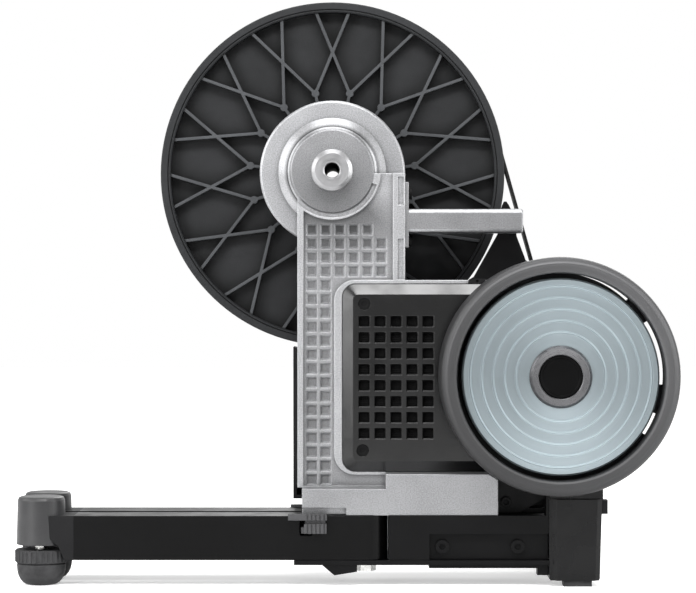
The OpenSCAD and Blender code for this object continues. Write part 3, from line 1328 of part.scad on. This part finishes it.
module near_leg() placed() color("#1c1c1e") leg_shape();
module far_leg() placed() color("#1c1c1e") far_side() leg_shape();
module near_bracket() placed() color("#202022") bracket_shape();
module far_bracket() placed() color("#202022") far_side() bracket_shape();
module near_foot_cap() placed() color("#29292b") cap_shape();
module far_foot_cap() placed() color("#29292b") far_side() cap_shape();
module near_foot_stud() placed() color("#9a9c9f") stud_shape();
module far_foot_stud() placed() color("#9a9c9f") far_side() stud_shape();
module near_foot_knob() placed() color("#19191a") knob_shape();
module far_foot_knob() placed() color("#19191a") far_side() knob_shape();
module near_foot_pad() placed() color("#222223") pad_shape();
module far_foot_pad() placed() color("#222223") far_side() pad_shape();
module near_latch() placed() color("#4a4b4d") latch_shape();
module far_latch() placed() color("#4a4b4d") far_side() latch_shape();

support_arm();
handle();
rear_web();
front_cover();
housing_screws();
circuit_board();
speed_sensor();
stepper_motor();
motor_rotor();
lead_screw();
guide_rods();
magnet_carrier();
brake_magnets();
guard_pan();
flywheel();
flywheel_collar();
flywheel_cap();
flywheel_shaft();
shaft_bearings();
small_pulley();
drive_belt();
idler_arm();
idler_pulley();
idler_bolt();
pulley_wheel();
hub_shell();
hub_screws();
hub_bearings();
ratchet_ring();
freehub_body();
freehub_pawls();
freehub_bearings();
axle();
axle_end_left();
axle_end_right();
belt_guard();
guard_screws();
base_frame();
base_plate();
frame_bolts();
rear_bracket();
rear_beam();
beam_caps();
rear_pads();
power_inlet();
pivot_bolts();
near_leg();
near_bracket();
near_foot_cap();
near_foot_stud();
near_foot_knob();
near_foot_pad();
near_latch();
far_leg();
far_bracket();
far_foot_cap();
far_foot_stud();
far_foot_knob();
far_foot_pad();
far_latch();
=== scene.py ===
"""Looks of a direct drive bike trainer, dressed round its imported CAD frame.

Every length is in metres, and every place on the object starts from one of its nodes' boxes."""

import json
import math

import bmesh
import bpy
from mathutils import Matrix, Vector


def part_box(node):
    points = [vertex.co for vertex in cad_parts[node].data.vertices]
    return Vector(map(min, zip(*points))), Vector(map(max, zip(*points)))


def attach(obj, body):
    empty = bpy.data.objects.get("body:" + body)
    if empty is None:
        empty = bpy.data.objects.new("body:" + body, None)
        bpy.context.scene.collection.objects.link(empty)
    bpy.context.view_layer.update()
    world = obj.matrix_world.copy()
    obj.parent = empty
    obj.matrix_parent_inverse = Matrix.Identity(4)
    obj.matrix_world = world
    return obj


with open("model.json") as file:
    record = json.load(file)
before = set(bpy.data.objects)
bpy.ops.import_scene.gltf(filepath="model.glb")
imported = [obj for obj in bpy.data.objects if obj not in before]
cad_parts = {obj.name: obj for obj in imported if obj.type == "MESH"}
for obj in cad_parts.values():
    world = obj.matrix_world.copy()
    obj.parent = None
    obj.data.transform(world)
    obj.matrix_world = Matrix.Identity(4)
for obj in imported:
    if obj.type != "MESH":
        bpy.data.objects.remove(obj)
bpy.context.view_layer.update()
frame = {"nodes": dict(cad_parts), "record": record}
nodes = frame["nodes"]
body_of_node = {n: b for b, members in frame["record"]["behaviour"]["bodies"].items() for n in members}
slot_of_node = {s["node"]: s["material_slot"] for s in frame["record"]["subparts"]}


def middle(node):
    """Centre of a node's box."""
    low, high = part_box(node)
    return (low + high) / 2


axle = middle("axle")
fly = middle("flywheel")
wheel_r = (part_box("pulley_wheel")[1].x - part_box("pulley_wheel")[0].x) / 2

# Forms that the materials follow, and where they carry painted light and shade: the arm's turned head disc,
# its recessed panel and pockets with their depth behind the arm's nearest face, the bores of the axle and its
# end, and the flywheel's ridges

HEAD_DISC_R = 0.0345
PANEL_DEPTH = 0.029
POCKET_DEPTH = 0.0312
AXLE_BORE_R = 0.0062
AXLE_END_BORE_R = 0.0064
RIDGE_COUNT = 5
RIDGE_HALF = 0.0014
RIDGE_PITCH = 0.0092
RIDGE_FIRST = 0.0266 + RIDGE_PITCH

# A change of tone at an edge takes this far

EDGE = 0.0006

# Most of a noise lies between these values

NOISE_LOW = 0.35
NOISE_HIGH = 0.65

# Material helpers


class Shader:
    """A material under construction: its node tree, its main shader and short ways to add nodes."""

    def __init__(self, name, color, roughness, metallic=0.0, specular=0.5, anisotropy=0.0):
        self.material = bpy.data.materials.new(name)
        self.material.use_nodes = True
        self.tree = self.material.node_tree
        self.main = self.tree.nodes["Principled BSDF"]
        self.color = color
        self.roughness = roughness
        self.main.inputs["Base Color"].default_value = (*color, 1)
        self.main.inputs["Roughness"].default_value = roughness
        self.main.inputs["Metallic"].default_value = metallic
        self.main.inputs["Specular IOR Level"].default_value = specular
        self.main.inputs["Anisotropic"].default_value = anisotropy
        self.place = self.add("ShaderNodeTexCoord").outputs["Object"]
        self.last_normal = None

    def add(self, kind, inputs=None, **settings):
        """A new node; an input is a number or another node's output."""
        node = self.tree.nodes.new(kind)
        for key, value in settings.items():
            setattr(node, key, value)
        for key, value in (inputs or {}).items():
            if isinstance(value, bpy.types.NodeSocket):
                self.tree.links.new(value, node.inputs[key])
            else:
                node.inputs[key].default_value = value
        return node

    def noise(self, scale, detail=2.0, roughness=0.5, place=None):
        return self.add("ShaderNodeTexNoise", {"Vector": place or self.place, "Scale": scale,
                                               "Detail": detail, "Roughness": roughness}).outputs["Fac"]

    def math(self, operation, a, b=0.0):
        return self.add("ShaderNodeMath", {0: a, 1: b}, operation=operation).outputs[0]

    def product(self, first, *others):
        for other in others:
            first = self.math("MULTIPLY", first, other)
        return first

    def total(self, first, *others):
        for other in others:
            first = self.math("ADD", first, other)
        return first

    def ranged(self, value, low, high, to_low, to_high):
        """Value carried from low..high to to_low..to_high, and held at its ends."""
        return self.add("ShaderNodeMapRange", {"Value": value, "From Min": low, "From Max": high,
                                               "To Min": to_low, "To Max": to_high}).outputs[0]

    def scale_color(self, gain):
        """The base colour times gain."""
        scaled = self.add("ShaderNodeVectorMath", {0: (*self.color,), "Scale": gain}, operation="SCALE")
        self.tree.links.new(scaled.outputs[0], self.main.inputs["Base Color"])

    def tint(self, value, spread):
        """Lightens and darkens the base colour by a noise, spread either way."""
        self.scale_color(self.ranged(value, NOISE_LOW, NOISE_HIGH, 1 - spread, 1 + spread))

    def rough(self, value, spread):
        """Roughness that follows a noise, spread either way."""
        least = max(0.02, self.roughness - spread)
        out = self.ranged(value, NOISE_LOW, NOISE_HIGH, least, self.roughness + spread)
        self.tree.links.new(out, self.main.inputs["Roughness"])

    def bump(self, height, strength, distance):
        inputs = {"Height": height, "Strength": strength, "Distance": distance}
        if self.last_normal:
            inputs["Normal"] = self.last_normal
        self.last_normal = self.add("ShaderNodeBump", inputs).outputs[0]
        self.tree.links.new(self.last_normal, self.main.inputs["Normal"])

    def round_edges(self, radius):
        """Normals that turn over the edges, as on a cast or moulded part."""
        self.last_normal = self.add("ShaderNodeBevel", {"Radius": radius}, samples=6).outputs[0]
        self.tree.links.new(self.last_normal, self.main.inputs["Normal"])

    def occlusion_shade(self, distance):
        """Ambient occlusion for painted shade: one in the open, less in corners and between ribs."""
        return self.add("ShaderNodeAmbientOcclusion", {"Distance": distance}, samples=8,
                        only_local=True).outputs["AO"]

    def from_axis(self, centre):
        """Distance from an axis along Y through centre, and the angle round it."""
        shifted = self.add("ShaderNodeVectorMath", {0: self.place, 1: centre},
                           operation="SUBTRACT").outputs[0]
        parts = self.add("ShaderNodeSeparateXYZ", {0: shifted})
        x = parts.outputs[0]
        z = parts.outputs[2]
        radius = self.math("SQRT", self.total(self.product(x, x), self.product(z, z)))
        return radius, self.math("ARCTAN2", z, x)

    def along_y(self):
        return self.add("ShaderNodeSeparateXYZ", {0: self.place}).outputs[1]


def panel_light_and_shade(s, radius, turn):
    """Painted light and shade on the arm by depth: base block's face, painted shade on the recessed panel and
    the pocket floors, painted light on the pocket walls, and behind them.

    The panel has painted shade under the head and painted light beside it."""
    depth = s.math("SUBTRACT", s.along_y(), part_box("support_arm")[0].y)
    # Painted shade on the recessed panel, painted light on the pocket walls and painted shade on the pocket
    # floors
    panel_painted_shade = s.ranged(depth, PANEL_DEPTH - EDGE, PANEL_DEPTH, 1.0, 0.72)
    wall_painted_light = s.ranged(depth, PANEL_DEPTH + 0.0001, PANEL_DEPTH + 0.0004, 0.0, 0.55)
    floor_painted_shade = s.ranged(depth, POCKET_DEPTH - 0.0006, POCKET_DEPTH - 0.0002, 0.0, -0.8)
    behind = s.ranged(depth, POCKET_DEPTH + 0.001, POCKET_DEPTH + 0.003, 0.0, 0.53)
    below_face = s.ranged(depth, PANEL_DEPTH - EDGE, PANEL_DEPTH, 0.0, 1.0)
    above_floor = s.ranged(depth, POCKET_DEPTH, POCKET_DEPTH + 0.001, 1.0, 0.0)
    # Painted shade under the head and painted light beside it
    near_head = s.ranged(radius, 0.045, 0.08, 1.0, 0.0)
    under_or_beside = s.ranged(s.math("COSINE", turn), 0.68, 0.92, -0.36, 0.24)
    head_painted_light_and_shade = s.product(below_face, above_floor, near_head, under_or_beside)
    block = s.ranged(depth, 0.0005, 0.002, 0.74, 1.0)
    return s.product(s.total(panel_painted_shade, wall_painted_light, floor_painted_shade, behind, head_painted_light_and_shade), block)


def silver_casting(name, gain=1.0):
    """Silver paint with a fine metallic grain and painted shade in corners; the head's disc is darker, with
    painted shade that deepens towards its foot.
    """
    s = Shader(name, (0.3 * gain, 0.302 * gain, 0.31 * gain), 0.38, metallic=0.8)
    s.round_edges(0.0012)
    grain = s.noise(1000, 2)
    broad = s.noise(30, 4)
    mixed = s.total(s.product(grain, 0.7), s.product(broad, 0.3))
    tone = s.ranged(mixed, 0.4, 0.6, 0.82, 1.18)
    # Painted shade in corners and recesses, from ambient occlusion
    shade = s.ranged(s.occlusion_shade(0.005), 0.3, 0.95, 0.45, 1.0)
    radius, turn = s.from_axis(axle)
    # Painted shade on the head's disc, darkest at its foot
    disc_painted_shade = s.ranged(s.math("SINE", turn), -1.0, 1.0, 0.42, 0.75)
    off_disc = s.ranged(radius, HEAD_DISC_R - EDGE, HEAD_DISC_R + EDGE, 0.0, 1.0)
    disc = s.math("MAXIMUM", disc_painted_shade, off_disc)
    s.scale_color(s.product(tone, shade, disc, panel_light_and_shade(s, radius, turn)))
    s.rough(grain, 0.06)
    s.bump(grain, 0.25, 0.0002)
    return s.material


def painted_black(name, color, roughness):
    """Powder coat: low gloss with a fine orange peel."""
    s = Shader(name, color, roughness, specular=0.1)
    s.round_edges(0.0008)
    peel = s.noise(900, 2)
    s.tint(s.noise(22, 4), 0.25)
    s.rough(s.noise(60, 4), 0.06)
    s.bump(peel, 0.2, 0.0002)
    return s.material


def moulded(name, color, roughness, grain_scale=1400, grain=0.3, specular=0.12):
    """Injection-moulded plastic with a spark-eroded grain and slight flow marks."""
    s = Shader(name, color, roughness, specular=specular)
    s.round_edges(0.0006)
    fine = s.noise(grain_scale, 2)
    s.tint(s.noise(14, 5, 0.6), 0.25)
    s.rough(s.noise(45, 4), 0.07)
    s.bump(fine, grain, 0.0003)
    return s.material


def wheel_plastic():
    """Glass-filled nylon: dull and mottled, with painted light along the ribs and rim, and painted shade
    deeper down between the ribs and in the corners.
    """
    s = Shader("wheel_plastic", (0.0175, 0.0183, 0.0195), 0.52, specular=0.14)
    s.round_edges(0.0009)
    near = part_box("pulley_wheel")[0].y
    depth = s.along_y()
    radius = s.from_axis(axle)[0]
    # Painted light on the near crests, strongest on the ribs and less on the rim, and painted shade deeper
    # down between the ribs
    rib_or_rim = s.ranged(radius, wheel_r - 0.010, wheel_r - 0.008, 2.6, 0.75)
    web_painted_shade = s.ranged(depth, near + 0.001, near + 0.006, 0.0, 0.62)
    painted_crest_light = s.ranged(depth, near + 0.001, near + 0.006, rib_or_rim, 0.0)
    # Painted shade in the corners, from ambient occlusion
    shade = s.ranged(s.occlusion_shade(0.014), 0.35, 0.95, 0.3, 1.15)
    flow = s.noise(26, 5, 0.62)
    fleck = s.noise(1500, 2)
    mixed = s.total(s.product(flow, 0.6), s.product(fleck, 0.4))
    mottle = s.ranged(mixed, NOISE_LOW, NOISE_HIGH, 0.75, 1.25)
    s.scale_color(s.product(s.total(web_painted_shade, painted_crest_light), shade, mottle))
    s.rough(s.noise(80, 4), 0.08)
    s.bump(fleck, 0.3, 0.0003)
    s.bump(s.noise(190, 4), 0.12, 0.0008)
    return s.material


def turned(name, color, roughness, centre, pitch, metallic=1.0, anisotropy=0.6, spread=0.12, specular=0.5,
           painted_fan=0.0, painted_top=0.0, painted_right=0.0):
    """Lathe-turned metal: fine grooves round an axis and streaks that follow them.

    Painted light and shade round the axis: a painted reflection with two bright and two dark arcs a turn,
    painted light towards the top and painted light towards the right; a negative amount paints shade there
    instead."""
    s = Shader(name, color, roughness, metallic, specular, anisotropy=anisotropy)
    radius, turn = s.from_axis(centre)
    ring = s.add("ShaderNodeCombineXYZ", {0: radius, 1: s.product(turn, 0.0025), 2: 0.0}).outputs[0]
    fine = s.noise(1.0 / pitch, 2, 0.5, ring)
    broad = s.noise(0.12 / pitch, 3, 0.6, ring)
    tone = s.ranged(broad, NOISE_LOW, NOISE_HIGH, 1 - spread, 1 + spread)
    # Painted reflection, painted light at the top and painted light at the right, round the axis
    fan_painted_light = s.ranged(s.math("COSINE", s.product(turn, 2.0)), -1.0, 1.0, 1 + painted_fan, 1 - painted_fan)
    top_painted_light = s.ranged(s.math("SINE", turn), -1.0, 1.0, 1 - painted_top, 1 + painted_top)
    right_painted_light = s.ranged(s.math("COSINE", turn), -1.0, 1.0, 1 - painted_right, 1 + painted_right)
    # The colour's gain carries the random tone and the painted light round the axis
    s.gain = s.product(tone, right_painted_light, fan_painted_light, top_painted_light)
    s.scale_color(s.gain)
    s.rough(fine, 0.05)
    s.bump(fine, 0.06, pitch * 0.1)
    tangent = s.add("ShaderNodeTangent", direction_type="RADIAL", axis="Y").outputs[0]
    s.tree.links.new(tangent, s.main.inputs["Tangent"])
    return s


def with_painted_ridge_highlights(s, centre):
    """The same turned metal with painted highlights on the crests of its ridges."""
    out_from_first = s.math("SUBTRACT", s.from_axis(centre)[0], RIDGE_FIRST)
    nearest = s.math("ROUND", s.math("DIVIDE", out_from_first, RIDGE_PITCH))
    ridge = s.math("MINIMUM", s.math("MAXIMUM", nearest, 0.0), RIDGE_COUNT - 1.0)
    off = s.math("ABSOLUTE", s.math("SUBTRACT", out_from_first, s.product(ridge, RIDGE_PITCH)))
    # Painted highlight along the top of each ridge
    painted_crest_light = s.ranged(off, RIDGE_HALF * 0.6, RIDGE_HALF, 1.55, 1.0)
    s.scale_color(s.product(s.gain, painted_crest_light))
    return s.material


def machined(name, color, roughness):
    """Plain ground or plated metal with faint handling marks."""
    s = Shader(name, color, roughness, metallic=1.0)
    s.round_edges(0.0004)
    s.tint(s.noise(120, 4), 0.1)
    s.rough(s.noise(300, 4), 0.08)
    s.bump(s.noise(2200, 2), 0.08, 0.0001)
    return s


def with_painted_bore_shade(s, centre, bore_r):
    """The same metal with painted shade inside its bore, near black there, and dull."""
    outside = s.ranged(s.from_axis(centre)[0], bore_r - 0.0001, bore_r + 0.0001, 0.0, 1.0)
    color = s.main.inputs["Base Color"].links[0].from_socket
    shine = s.main.inputs["Roughness"].links[0].from_socket
    # Painted shade: the colour inside the bore is near black
    mixed = s.add("ShaderNodeVectorMath", {0: color, "Scale": s.ranged(outside, 0, 1, 0.04, 1.0)},
                  operation="SCALE").outputs[0]
    dull = s.math("MAXIMUM", shine, s.ranged(outside, 0, 1, 0.95, 0.0))
    s.tree.links.new(mixed, s.main.inputs["Base Color"])
    s.tree.links.new(outside, s.main.inputs["Metallic"])
    s.tree.links.new(dull, s.main.inputs["Roughness"])
    return s.material


def rubber(name, color, roughness):
    """Dull rubber with a dusty bloom."""
    s = Shader(name, color, roughness, specular=0.12)
    s.round_edges(0.0008)
    s.tint(s.noise(60, 5, 0.65), 0.35)
    s.rough(s.noise(160, 4), 0.08)
    s.bump(s.noise(1800, 2), 0.35, 0.0003)
    return s.material


def solder_mask():
    """Black circuit board with slightly lighter copper tracks under the mask."""
    s = Shader("board", (0.008, 0.008, 0.009), 0.4, specular=0.25)
    tracks = s.add("ShaderNodeTexBrick", {"Vector": s.place, "Scale": 60.0, "Mortar Size": 0.03,
                                          "Color1": (0.008, 0.008, 0.009, 1),
                                          "Color2": (0.01, 0.01, 0.011, 1),
                                          "Mortar": (0.02, 0.02, 0.021, 1)})
    s.tree.links.new(tracks.outputs["Color"], s.main.inputs["Base Color"])
    s.bump(s.noise(900, 2), 0.1, 0.0001)
    return s.material


MATERIALS = {
    "silver_casting": silver_casting("silver_casting"),
    "silver_handle": silver_casting("silver_handle", 0.86),
    "black_steel": painted_black("black_steel", (0.0018, 0.0018, 0.002), 0.42),
    "leg_steel": painted_black("leg_steel", (0.0012, 0.0012, 0.0013), 0.36),
    "cover_plastic": moulded("cover_plastic", (0.0012, 0.0012, 0.0013), 0.17, 1700, 0.04, specular=0.36),
    "black_screws": painted_black("black_screws", (0.002, 0.002, 0.0022), 0.5),
    "board": solder_mask(),
    "black_plastic": moulded("black_plastic", (0.007, 0.007, 0.0075), 0.5),
    "motor_black": painted_black("motor_black", (0.015, 0.015, 0.016), 0.5),
    "ground_steel": machined("ground_steel", (0.42, 0.42, 0.43), 0.22).material,
    "axle_steel": with_painted_bore_shade(machined("axle_steel", (0.42, 0.42, 0.43), 0.3), axle, AXLE_BORE_R),
    "nickel": machined("nickel", (0.5, 0.49, 0.47), 0.18).material,
    # The guard, flywheel and collar carry painted light and painted reflection round their axis; the flywheel
    # also painted highlights on its ridges
    "guard_grey": turned("guard_grey", (0.053, 0.053, 0.0545), 0.5, fly, 0.0012, metallic=0.7, anisotropy=0.3,
                         spread=0.08, specular=0.3, painted_top=0.22, painted_right=0.2).material,
    "flywheel_steel": with_painted_ridge_highlights(turned("flywheel_steel", (0.195, 0.228, 0.243), 0.34, fly, 0.0012, metallic=0.75,
                                    anisotropy=0.5, spread=0.05, painted_fan=0.2, painted_top=-0.05, painted_right=0.06), fly),
    "collar_steel": turned("collar_steel", (0.13, 0.13, 0.135), 0.3, fly, 0.0008, painted_fan=0.2, painted_top=0.2).material,
    "cap_black": turned("cap_black", (0.001, 0.001, 0.0011), 0.4, fly, 0.0016, metallic=0.0, anisotropy=0.3,
                        spread=0.3, specular=0.06).material,
    "bearing_steel": machined("bearing_steel", (0.36, 0.36, 0.37), 0.25).material,
    "pulley_steel": machined("pulley_steel", (0.26, 0.26, 0.27), 0.3).material,
    "belt_rubber": rubber("belt_rubber", (0.008, 0.008, 0.008), 0.6),
    "zinc": machined("zinc", (0.5, 0.5, 0.485), 0.28).material,
    "wheel_plastic": wheel_plastic(),
    "hub_alloy": machined("hub_alloy", (0.34, 0.34, 0.355), 0.35).material,
    "axle_alloy": with_painted_bore_shade(turned("axle_alloy", (0.27, 0.27, 0.275), 0.36, axle, 0.0012, anisotropy=0.3,
                                        spread=0.08), axle, AXLE_END_BORE_R),
    "cap_plastic": moulded("cap_plastic", (0.003, 0.003, 0.0032), 0.25, grain=0.1, specular=0.17),
    "foot_rubber": rubber("foot_rubber", (0.03, 0.03, 0.031), 0.62),
    "foot_plastic": moulded("foot_plastic", (0.024, 0.024, 0.025), 0.4, 1200, specular=0.28),
    # Black of the screen that stands as painted shade behind the cover's openings
    "shade_screen_black": painted_black("shade_screen_black", (0.0015, 0.0015, 0.0016), 0.7),
    "latch_grey": moulded("latch_grey", (0.055, 0.055, 0.057), 0.5),
}


def paint(obj, slot):
    obj.data.materials.clear()
    obj.data.materials.append(MATERIALS[slot])


for name, obj in nodes.items():
    paint(obj, slot_of_node[name])
paint(nodes["axle"], "axle_steel")
paint(nodes["handle"], "silver_handle")


# Black woven screen behind the cover's openings, put there as painted shade: its place in from the cover's
# edges, and its wires

SCREEN_LEFT = 0.0119
SCREEN_WIDTH = 0.0648
SCREEN_LOW = 0.0254
SCREEN_DROP = 0.0255
SCREEN_BEHIND = 0.0041
WIRE_PITCH = 0.0016
WIRE_W = 0.0007
WIRE_T = 0.0003


def add_block(mesh, low, high):
    """Adds a block between two corners to a bmesh."""
    low = Vector(low)
    high = Vector(high)
    size = high - low
    place = Matrix.Translation((low + high) / 2) @ Matrix.Diagonal((*size, 1))
    bmesh.ops.create_cube(mesh, size=1, matrix=place)


def painted_shade_screen():
    """Black woven screen, put behind the cover's openings as painted shade: a backing sheet with upright
    wires, and level wires over them.
    """
    low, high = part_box("front_cover")
    x0 = low.x + SCREEN_LEFT
    x1 = x0 + SCREEN_WIDTH
    z0 = low.z + SCREEN_LOW
    z1 = high.z - SCREEN_DROP
    y0 = low.y + SCREEN_BEHIND
    mesh = bmesh.new()
    add_block(mesh, (x0, y0 + 2 * WIRE_T, z0), (x1, y0 + 3 * WIRE_T, z1))
    for i in range(int((x1 - x0) / WIRE_PITCH)):
        x = x0 + (i + 0.3) * WIRE_PITCH
        add_block(mesh, (x, y0 + WIRE_T, z0), (x + WIRE_W, y0 + 2.1 * WIRE_T, z1))
    for i in range(int((z1 - z0) / WIRE_PITCH)):
        z = z0 + (i + 0.3) * WIRE_PITCH
        add_block(mesh, (x0, y0, z), (x1, y0 + 1.1 * WIRE_T, z + WIRE_W))
    data = bpy.data.meshes.new("painted_shade_screen")
    mesh.to_mesh(data)
    mesh.free()
    screen = bpy.data.objects.new("painted_shade_screen", data)
    bpy.context.scene.collection.objects.link(screen)
    screen.data.materials.append(MATERIALS["shade_screen_black"])
    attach(screen, body_of_node["front_cover"])


painted_shade_screen()

# Camera: lens and sensor in millimetres; metres before the axle's near end, above the floor and to the right

FOCAL = 126.2
SENSOR_W = 36
CAMERA_BACK = 2.0
CAMERA_HEIGHT = 0.2363
CAMERA_RIGHT = 0.0131
axle_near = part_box("axle_end_left")[0].y

camera_data = bpy.data.cameras.new("camera")
camera_data.lens = FOCAL
camera_data.sensor_width = SENSOR_W
camera = bpy.data.objects.new("camera", camera_data)
camera.location = (axle.x + CAMERA_RIGHT, axle_near - CAMERA_BACK, CAMERA_HEIGHT)
camera.rotation_euler = (math.radians(90), 0, 0)
bpy.context.scene.collection.objects.link(camera)
bpy.context.scene.camera = camera

# Soft studio light on a pale floor


def area_light(name, place, target, size, power):
    """A soft box: a rectangle of light at place that faces target."""
    data = bpy.data.lights.new(name, "AREA")
    data.shape = "RECTANGLE"
    data.size, data.size_y = size
    data.energy = power
    lamp = bpy.data.objects.new(name, data)
    lamp.location = place
    lamp.rotation_euler = (Vector(target) - Vector(place)).to_track_quat("-Z", "Y").to_euler()
    bpy.context.scene.collection.objects.link(lamp)


# Name, place, target, size and power in watts

SOFT_BOXES = (
    ("left_box", (-1.35, -1.3, 0.7), (0, 0, 0.25), (0.9, 1.2), 28),
    ("front_box", (0.08, -1.28, 1.42), (0.05, 0, 0.25), (1.4, 0.36), 33),
    ("side_box", (-1.6, -0.2, 0.95), (0, 0, 0.25), (1.0, 1.3), 15),
    ("top_box", (0.0, 0.1, 1.9), (0, 0, 0.2), (1.2, 0.9), 17),
    ("right_box", (1.75, -0.75, 0.8), (0, 0, 0.25), (0.8, 1.3), 25),
    ("back_box", (0.5, 1.7, 1.1), (0, 0, 0.25), (1.6, 1.0), 14),
)
for soft_box in SOFT_BOXES:
    area_light(*soft_box)


def seen_rays(tree):
    """One for the rays that show the background: camera, glossy and transmission rays."""
    path = tree.nodes.new("ShaderNodeLightPath")
    total = path.outputs["Is Camera Ray"]
    for kind in ("Is Glossy Ray", "Is Transmission Ray"):
        both = tree.nodes.new("ShaderNodeMath")
        both.operation = "MAXIMUM"
        tree.links.new(total, both.inputs[0])
        tree.links.new(path.outputs[kind], both.inputs[1])
        total = both.outputs[0]
    return total


FILL_STRENGTH = 0.16
BACKGROUND_STRENGTH = 1.0


def make_world():
    """Even fill light, with a white background for the rays that show it."""
    world = bpy.data.worlds.new("world")
    bpy.context.scene.world = world
    world.use_nodes = True
    tree = world.node_tree
    fill = tree.nodes["Background"]
    fill.inputs["Color"].default_value = (1, 1, 1, 1)
    fill.inputs["Strength"].default_value = FILL_STRENGTH
    white = tree.nodes.new("ShaderNodeBackground")
    white.inputs["Color"].default_value = (1, 1, 1, 1)
    white.inputs["Strength"].default_value = BACKGROUND_STRENGTH
    mix = tree.nodes.new("ShaderNodeMixShader")
    tree.links.new(seen_rays(tree), mix.inputs[0])
    tree.links.new(fill.outputs[0], mix.inputs[1])
    tree.links.new(white.outputs[0], mix.inputs[2])
    tree.links.new(mix.outputs[0], tree.nodes["World Output"].inputs["Surface"])


# The floor's half width; its glow rises between two distances from the object

FLOOR_HALF = 6.0
GLOW_FROM = 0.3
GLOW_TO = 2.2
GLOW_LEAST = 0.46
GLOW_MOST = 0.85


def make_floor():
    """Pale floor that shows white where it is lit and keeps the object's shadow."""
    half = FLOOR_HALF
    corners = [(-half, -half, 0), (half, -half, 0), (half, half, 0), (-half, half, 0)]
    mesh = bpy.data.meshes.new("floor")
    mesh.from_pydata(corners, [], [(0, 1, 2, 3)])
    floor = bpy.data.objects.new("floor", mesh)
    bpy.context.scene.collection.objects.link(floor)
    s = Shader("floor", (0.86, 0.86, 0.86), 0.7, specular=0.2)
    s.tint(s.noise(3, 3), 0.01)
    away = s.add("ShaderNodeVectorMath", {0: s.place}, operation="LENGTH").outputs["Value"]
    strength = s.ranged(away, GLOW_FROM, GLOW_TO, GLOW_LEAST, GLOW_MOST)
    glow = s.add("ShaderNodeEmission", {"Strength": strength})
    both = s.add("ShaderNodeAddShader")
    s.tree.links.new(s.main.outputs[0], both.inputs[0])
    s.tree.links.new(glow.outputs[0], both.inputs[1])
    choose = s.add("ShaderNodeMixShader")
    s.tree.links.new(seen_rays(s.tree), choose.inputs[0])
    s.tree.links.new(s.main.outputs[0], choose.inputs[1])
    s.tree.links.new(both.outputs[0], choose.inputs[2])
    s.tree.links.new(choose.outputs[0], s.tree.nodes["Material Output"].inputs["Surface"])
    mesh.materials.append(s.material)


make_world()
make_floor()
bpy.context.scene.view_settings.view_transform = "Standard"
